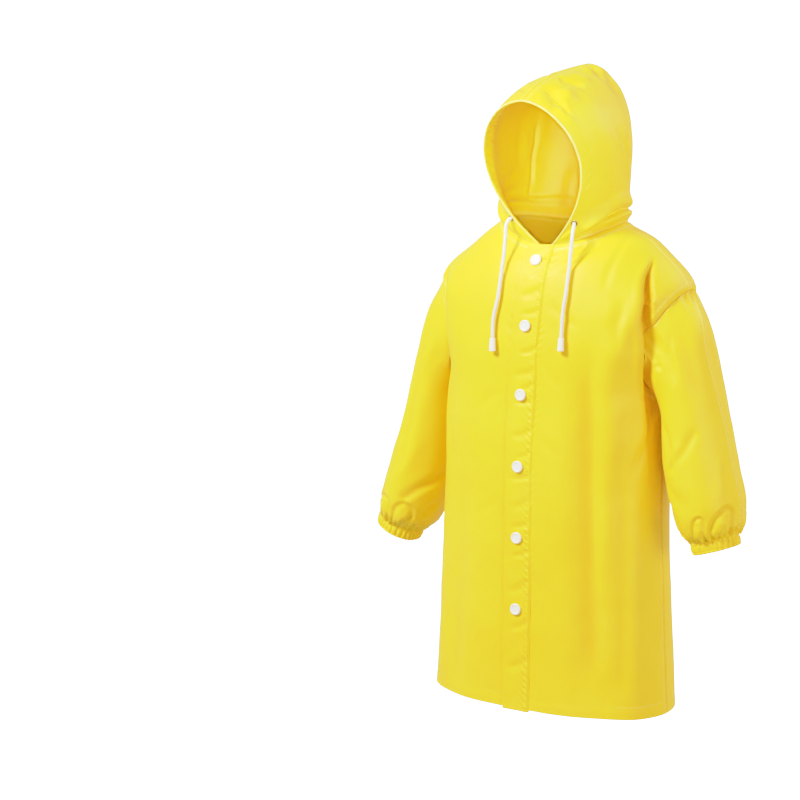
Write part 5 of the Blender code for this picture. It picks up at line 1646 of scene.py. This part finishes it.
def cord_pieces(braid, tip_look):
    """The two free cord ends with the tubes on their tips."""
    for word, route in CORD_ROUTES.items():
        fine = smooth_path(route, 20)
        length = arc_lengths(fine)[-1]
        path = even_spacing(fine, CORD_STEPS)
        tangent = unit(np.gradient(path, axis=0))
        angle = np.linspace(0, 2 * math.pi, CORD_SIDES, endpoint=False)
        reference = np.array((1.0, 0.0, 0.0))
        points = []
        uv = []
        for k, (point, way) in enumerate(zip(path, tangent)):
            x = unit(reference - way * (reference @ way))
            y = np.cross(way, x)
            reference = x
            run = length * k / CORD_STEPS
            bulge = 1.0 + 0.035 * np.cos(5 * angle + run / 1.1) * np.cos(5 * angle - run / 1.1)
            radius = 0.5 * CORD_DIAMETER * bulge
            points.append(point + radius[:, None] * (np.cos(angle)[:, None] * x + np.sin(angle)[:, None] * y))
            uv.append(np.stack((angle * 0.5 * CORD_DIAMETER, np.full(CORD_SIDES, run)), axis=1))
        count = len(path) * CORD_SIDES
        faces = grid_faces(len(path), CORD_SIDES, True)
        faces.append(tuple(range(CORD_SIDES))[::-1])
        faces.append(tuple(range(count - CORD_SIDES, count)))
        cord = make_piece(
            f"cord_{word}_braid", np.concatenate(points), faces, braid, (f"cord_{word}",),
            {"cloth": np.concatenate(uv)},
        )
        way = unit(path[-1] - path[-2])
        mouth = TIP_RADIUS - 1.5
        profile = rounded(
            (
                (0, 0),
                (TIP_RADIUS - 1.0, 0),
                (TIP_RADIUS - 0.5, 1.2),
                (TIP_RADIUS - 0.7, 3.5),
                (TIP_RADIUS, TIP_LENGTH - 0.5),
                (TIP_RADIUS - 0.4, TIP_LENGTH),
                (mouth, TIP_LENGTH),
                (mouth - 0.2, TIP_LENGTH - 5.0),
                (0, TIP_LENGTH - 5.0),
            ),
            0.5,
        )
        tip = turned(
            f"tip_{word}_tube", profile, path[-1] + way * 0.1, way, tip_look, (f"tip_{word}",), 40
        )


def snap_pieces(torso, white):
    """Six snap caps: a raised round rim round a shallow dish."""
    crown = SNAP_RADIUS - 0.9
    profile = rounded(
        (
            (0, -0.6),
            (SNAP_RADIUS - 0.8, -0.6),
            (SNAP_RADIUS, 0.4),
            (SNAP_RADIUS, SNAP_HEIGHT - 1.1),
            (crown, SNAP_HEIGHT),
            (crown - 1.3, SNAP_HEIGHT),
            (crown - 2.1, SNAP_HEIGHT - 0.9),
            (0, SNAP_HEIGHT - 0.75),
        ),
        0.6,
    )
    for number, height in enumerate(SNAP_HEIGHTS, start=1):
        level = torso.level_at(height)
        point = torso.read(level, 0.0)
        normal = torso.read(level, 0.0, 1.0) - point
        foot = point + normal * SNAP_LIFT
        turned(f"snap_{number}", profile, foot, normal, white, (f"button_{number}",), 64)


def eyelet_pieces(hoods, hood_cloth, lacquer, painted_shade):
    """Rolled rings round the cord's holes, and a dark disc in each one as the hole's painted shade."""
    for side, word in SIDE_WORDS.items():
        place = EYELET_PLACES[side]
        point = hoods[side].read(*place)
        normal = hoods[side].read(*place, 1.0) - point
        tree = cloth_tree(hood_cloth[side])
        spot = tree.ray_cast(Vector((point + normal * 12.0) * MM), Vector(-normal))[0]
        point = np.array(spot) / MM
        middle = 0.5 * (EYELET_HOLE + EYELET_RADIUS)
        half = 0.5 * (EYELET_RADIUS - EYELET_HOLE)
        profile = [
            (middle + half * math.cos(a), 0.35 + 0.75 * math.sin(a))
            for a in np.linspace(0, 2 * math.pi, 14, endpoint=False)
        ]
        node = (f"eyelet_{word}",)
        turned(f"eyelet_{word}_ring", profile, point, normal, lacquer, node, 48, ring=True)
        # a dark disc on the cloth: painted shade where the hole would be
        dark = rounded(((0, 0.32), (EYELET_HOLE + 0.3, 0.32), (EYELET_HOLE + 0.3, -0.5), (0, -0.5)), 0.1)
        turned(f"eyelet_{word}_hole", dark, point, normal, painted_shade, (), 32)


# ------------------------------------------------------------------ stitching

STITCH = 2.6
STITCH_GAP = 1.0
THREAD = 0.34
STITCH_SIDES = 5
# Rings along one stitch: place along it, thickness and lift above the cloth.
STITCH_RINGS = (
    (-0.5, 0.55, -0.25),
    (-0.32, 1.0, 0.30),
    (0.0, 1.0, 0.5),
    (0.32, 1.0, 0.30),
    (0.5, 0.55, -0.25),
)
SURFACE_REACH = 0.006  # metres; a stitch further than this from the cloth is left out


def stitch_points(path, normals):
    """Points and faces of a row of stitches along a path on the cloth."""
    along = arc_lengths(path)
    pitch = STITCH + STITCH_GAP
    points = []
    faces = []
    sides = STITCH_SIDES
    angle = np.linspace(0, 2 * math.pi, sides, endpoint=False)
    for start in np.arange(0.5 * pitch, along[-1] - pitch, pitch):
        centre = read_line(path, along, [start + 0.5 * STITCH])[0]
        ahead = read_line(path, along, [start + STITCH])[0]
        before = read_line(path, along, [start])[0]
        up = unit(read_line(normals, along, [start + 0.5 * STITCH])[0])
        way = ahead - before
        if np.linalg.norm(way) < 0.4 * STITCH:
            continue
        way = unit(way)
        beside = np.cross(way, up)
        base = len(points) * sides
        for place, thick, lift in STITCH_RINGS:
            spot = centre + way * place * STITCH + up * lift * THREAD
            ring = spot + 0.5 * THREAD * thick * 1.4 * (
                np.cos(angle)[:, None] * beside + 0.8 * np.sin(angle)[:, None] * up
            )
            points.append(ring)
        for r in range(len(STITCH_RINGS) - 1):
            for k in range(sides):
                m = (k + 1) % sides
                a = base + r * sides
                faces.append((a + k, a + m, a + sides + m, a + sides + k))
        end = base + (len(STITCH_RINGS) - 1) * sides
        faces.append(tuple(base + k for k in range(sides))[::-1])
        faces.append(tuple(end + k for k in range(sides)))
    return points, faces


def cloth_tree(piece):
    """A search tree of a piece's faces."""
    work = bmesh.new()
    work.from_mesh(piece.data)
    tree = BVHTree.FromBMesh(work)
    work.free()
    return tree


def stitch_rows(name, rows, thread):
    """One piece of stitching: rows given as (cloth piece, seam line, distance, side point)."""
    points = []
    faces = []
    trees = {}
    for cloth, line, distance, toward in rows:
        if cloth.name not in trees:
            trees[cloth.name] = cloth_tree(cloth)
        tree = trees[cloth.name]
        tangent = unit(np.gradient(line, axis=0))
        path = []
        normals = []
        for point, way in zip(line[::2], tangent[::2]):
            spot, normal, _, _ = tree.find_nearest(Vector(point * MM))
            beside = unit(np.cross(way, normal))
            if beside @ (toward - point) < 0:
                beside = -beside
            spot, normal, _, far = tree.find_nearest(Vector((point + beside * distance) * MM))
            if far > SURFACE_REACH:
                continue
            path.append(np.array(spot) / MM)
            normals.append(np.array(normal))
        if len(path) < 4:
            continue
        more, quads = stitch_points(np.array(path), np.array(normals))
        shift = sum(len(p) for p in points)
        points.extend(more)
        faces.extend(tuple(k + shift for k in quad) for quad in quads)
    return make_piece(name, np.concatenate(points), faces, thread)


HEM_STITCHES = HEM_TURN - 1.5  # distances of the rows of stitches from their seams
NECK_STITCHES = 7.0
ARMHOLE_STITCHES = 8.2


def torso_edge(torso, side, level, start, end, count):
    """A line along one level of the torso, between two across values."""
    return seam_line(torso.read, np.full(count, float(level)), side * np.linspace(start, end, count))


def sew(torso, lines, fronts, back, band, hoods, hood_cloth, sleeves, sleeve_cloth, thread):
    """Rows of stitches along the coat's seams, where the photo shows them or they must be."""
    above = np.array((0.0, 0.0, 60.0))
    down = np.linspace(0.12, HEM - 0.02, 700)
    for name, offset in (("band_sewn_stitches", 15.8), ("band_free_stitches", -16.6)):
        line = seam_line(torso.read, down, offset / torso.girth(down))
        stitch_rows(name, [(band, line, 0.0, line[0])], thread)
    rows = []
    in_front = np.array((0.0, -200.0, -200.0))
    for side, front in fronts.items():
        hem = torso_edge(torso, side, HEM, 0.09, 0.99, 300)
        neck = torso_edge(torso, side, 0, 0.26, 0.97, 150)
        rows += [
            (front, hem, HEM_STITCHES, above),
            (front, neck, NECK_STITCHES, np.array((side * 60.0, 0.0, -400.0))),
            (front, lines["shoulder", side], 5.2, in_front),
            (front, lines["side", side], 4.2, in_front),
            (front, lines["armhole", side, False], ARMHOLE_STITCHES, np.array((0.0, -90.0, -200.0))),
        ]
    stitch_rows("front_stitches", rows, thread)
    rows = []
    for side in (1, -1):
        hem = torso_edge(torso, side, HEM, 1.01, 1.99, 300)
        neck = torso_edge(torso, side, 0, 1.03, 1.98, 150)
        rows += [
            (back, hem, HEM_STITCHES, above),
            (back, neck, NECK_STITCHES, np.array((0.0, 60.0, -400.0))),
            (back, lines["armhole", side, True], ARMHOLE_STITCHES, np.array((0.0, 90.0, -200.0))),
        ]
    stitch_rows("back_stitches", rows, thread)
    rows = []
    for side, hood in hoods.items():
        cloth = hood_cloth[side]
        centre = seam_line(hood.read, np.linspace(0.06, 0.97, 300), np.full(300, 0.985))
        casing = seam_line(hood.read, np.full(300, CASING_BACK - 0.008), np.linspace(0.03, 0.985, 300))
        over = seam_line(sleeves[side].read, np.linspace(0.02, 0.97, 300), np.zeros(300))
        rows += [
            (cloth, centre, 2.2, np.array((side * 200.0, 0.0, 100.0))),
            (cloth, casing, 0.0, above),
            (sleeve_cloth[side, False], over, 5.0, np.array((side * 200.0, -400.0, -300.0))),
        ]
    stitch_rows("hood_and_sleeve_stitches", rows, thread)


# ------------------------------------------------------------------ camera, floor, lights

CAMERA_AZIMUTH = 30.0
CAMERA_ELEVATION = 8.0
CAMERA_DISTANCE = 4.8
METRES_PER_PIXEL = 0.0014
FRAME_PIXELS = 800
NECK_PIXEL = (564, 222)  # where the coat's origin shows in the frame
SENSOR_MM = 36.0

AMBIENT = 0.48
FLOOR_GLOW = 1.9  # the floor is lit from elsewhere, as a white studio sweep is
FLOOR_HALF_WIDTH = 30.0
FLOOR_HEIGHT = -0.95
FULL_WHITE = 1.78  # the light that the film shows as full white
LIGHT_DROP = Vector((0, 0, -0.25))  # the lights point at the chest
WARM_WHITE = (1.0, 0.985, 0.96)
SKY_WHITE = (1.0, 0.995, 0.985, 1.0)
# Soft lights: degrees round from the front, degrees up, distance, size, power and colour.
LIGHTS = {
    "key": (-26.0, 40.0, 3.2, 0.9, 106.0, WARM_WHITE),
    "fill": (75.0, 8.0, 3.4, 1.6, 32.0, (1.0, 0.99, 0.98)),
    "rim": (140.0, 32.0, 3.0, 1.2, 22.0, (1.0, 1.0, 1.0)),
}
HOOD_LIGHT = (1.14, -2.06, 0.36)  # a snooted lamp that shines into the hood
HOOD_LIGHT_AIM = (-0.045, -0.03, 0.078)
HOOD_LIGHT_SPREAD = 5.4
HOOD_LIGHT_POWER = 430.0
# How the photograph's film answers to light, for red, green and blue.
FILM_CURVES = (
    ((0.15, 0.36), (0.25, 0.55), (0.40, 0.755), (0.55, 0.83), (0.70, 0.87), (0.85, 0.95)),
    ((0.10, 0.22), (0.18, 0.39), (0.36, 0.63), (0.525, 0.80), (0.70, 0.885), (0.85, 0.955)),
    ((0.05, 0.10), (0.15, 0.30), (0.35, 0.60), (0.55, 0.80), (0.70, 0.885), (0.85, 0.955)),
)


def add_object(name, data):
    """A new object in the scene."""
    item = bpy.data.objects.new(name, data)
    bpy.context.scene.collection.objects.link(item)
    return item


def aim(item, place, way):
    """Puts a camera or a light at a place and points it along a way."""
    item.location = place
    item.rotation_euler = way.to_track_quat("-Z", "Y").to_euler()


def make_camera():
    """The photograph's camera, turned so that the coat's origin shows at NECK_PIXEL."""
    toward = direction(CAMERA_AZIMUTH, CAMERA_ELEVATION)
    focal = CAMERA_DISTANCE / METRES_PER_PIXEL
    right = NECK_PIXEL[0] - FRAME_PIXELS / 2
    up = FRAME_PIXELS / 2 - NECK_PIXEL[1]
    look = Quaternion((0, 0, 1), math.atan2(right, focal)) @ (-toward)
    side = look.cross(Vector((0, 0, 1))).normalized()
    look = Quaternion(side, -math.atan2(up, math.hypot(focal, right))) @ look
    data = bpy.data.cameras.new("camera")
    data.sensor_width = SENSOR_MM
    data.lens = data.sensor_width * focal / FRAME_PIXELS
    camera = add_object("camera", data)
    aim(camera, toward * CAMERA_DISTANCE, look)
    bpy.context.scene.camera = camera


def make_floor():
    """A pale floor that glows white and is kept out of the coat's light."""
    look = Look("floor", 0.85)
    colour = look.ramp(look.noise(0.8, 2.0), (0.3, (0.93, 0.93, 0.93)), (0.7, (0.95, 0.95, 0.95)))
    look.shader.inputs["Emission Color"].default_value = (1.0, 1.0, 1.0, 1.0)
    look.shader.inputs["Emission Strength"].default_value = FLOOR_GLOW
    mesh = bpy.data.meshes.new("floor")
    size = FLOOR_HALF_WIDTH
    corners = [(x, y, FLOOR_HEIGHT) for x, y in ((-size, -size), (size, -size), (size, size), (-size, size))]
    mesh.from_pydata(corners, [], [(0, 1, 2, 3)])
    mesh.materials.append(look.finish(colour))
    floor = add_object("floor", mesh)
    floor.visible_diffuse = False
    floor.visible_glossy = False


def add_light(name, azimuth, elevation, distance, size, power, colour):
    """A round soft light, at degrees round from the coat's front and degrees up."""
    place = direction(azimuth, elevation) * distance
    data = bpy.data.lights.new(name, "AREA")
    data.shape = "DISK"
    data.size = size
    data.energy = power
    data.color = colour
    aim(add_object(name, data), place + LIGHT_DROP, -place)


def add_snoot(name, place, target, spread_angle, power):
    """A narrow soft beam, as a snooted lamp gives."""
    data = bpy.data.lights.new(name, "SPOT")
    data.spot_size = math.radians(spread_angle)
    data.spot_blend = 1.0
    data.shadow_soft_size = 0.12
    data.energy = power
    data.color = WARM_WHITE
    aim(add_object(name, data), Vector(place), Vector(target) - Vector(place))


def make_lights():
    """The studio's lights, and the way the film answers to them."""
    world = bpy.data.worlds.new("studio")
    bpy.context.scene.world = world
    world.use_nodes = True
    background = world.node_tree.nodes["Background"]
    background.inputs["Color"].default_value = SKY_WHITE
    background.inputs["Strength"].default_value = AMBIENT
    for name, light in LIGHTS.items():
        add_light(name, *light)
    add_snoot("hood_light", HOOD_LIGHT, HOOD_LIGHT_AIM, HOOD_LIGHT_SPREAD, HOOD_LIGHT_POWER)
    view = bpy.context.scene.view_settings
    view.view_transform = "Standard"
    view.use_curve_mapping = True
    view.curve_mapping.white_level = (FULL_WHITE, FULL_WHITE, FULL_WHITE)
    for line, points in zip(view.curve_mapping.curves, FILM_CURVES):
        for place, value in points:
            line.points.new(place, value)
    view.curve_mapping.update()


def main():
    """Builds the coat's cloth, its small pieces, the floor, the camera and the lights."""
    make_camera()
    cloth = cloth_look()
    braid = braid_look()
    plastic = white_look("snap_plastic", 0.28, (0.93, 0.91, 0.875), 0.0012, 0.00004, Specular_IOR_Level=0.5)
    tip_plastic = white_look("tip_plastic", 0.32, (0.93, 0.915, 0.895), 0.0012, 0.00005, Coat_Weight=0.2)
    cord_pieces(braid, tip_plastic)
    torso = Torso()
    lines = main_seams(torso)
    pieces = {side: front_shell(torso, lines, side, cloth) for side in (1, -1)}
    back = back_shell(torso, lines, cloth)
    band = band_shell(torso, cloth)
    hoods = {side: Hood(torso, side) for side in (1, -1)}
    hood_cloth = {side: hood_shell(torso, hoods[side], cloth) for side in (1, -1)}
    casing_shell(hoods, cloth)
    sleeves = {}
    sleeve_cloth = {}
    for side in (1, -1):
        sleeves[side] = Sleeve(torso, side)
        for back_half in (False, True):
            sleeve_cloth[side, back_half] = sleeve_shell(torso, sleeves[side], back_half, cloth)
        cuff_shell(side, cloth)
    sew(torso, lines, pieces, back, band, hoods, hood_cloth, sleeves, sleeve_cloth, thread_look())
    snap_pieces(torso, plastic)
    eyelet_pieces(hoods, hood_cloth, eyelet_look(), hole_shade_look())
    make_floor()
    make_lights()


main()
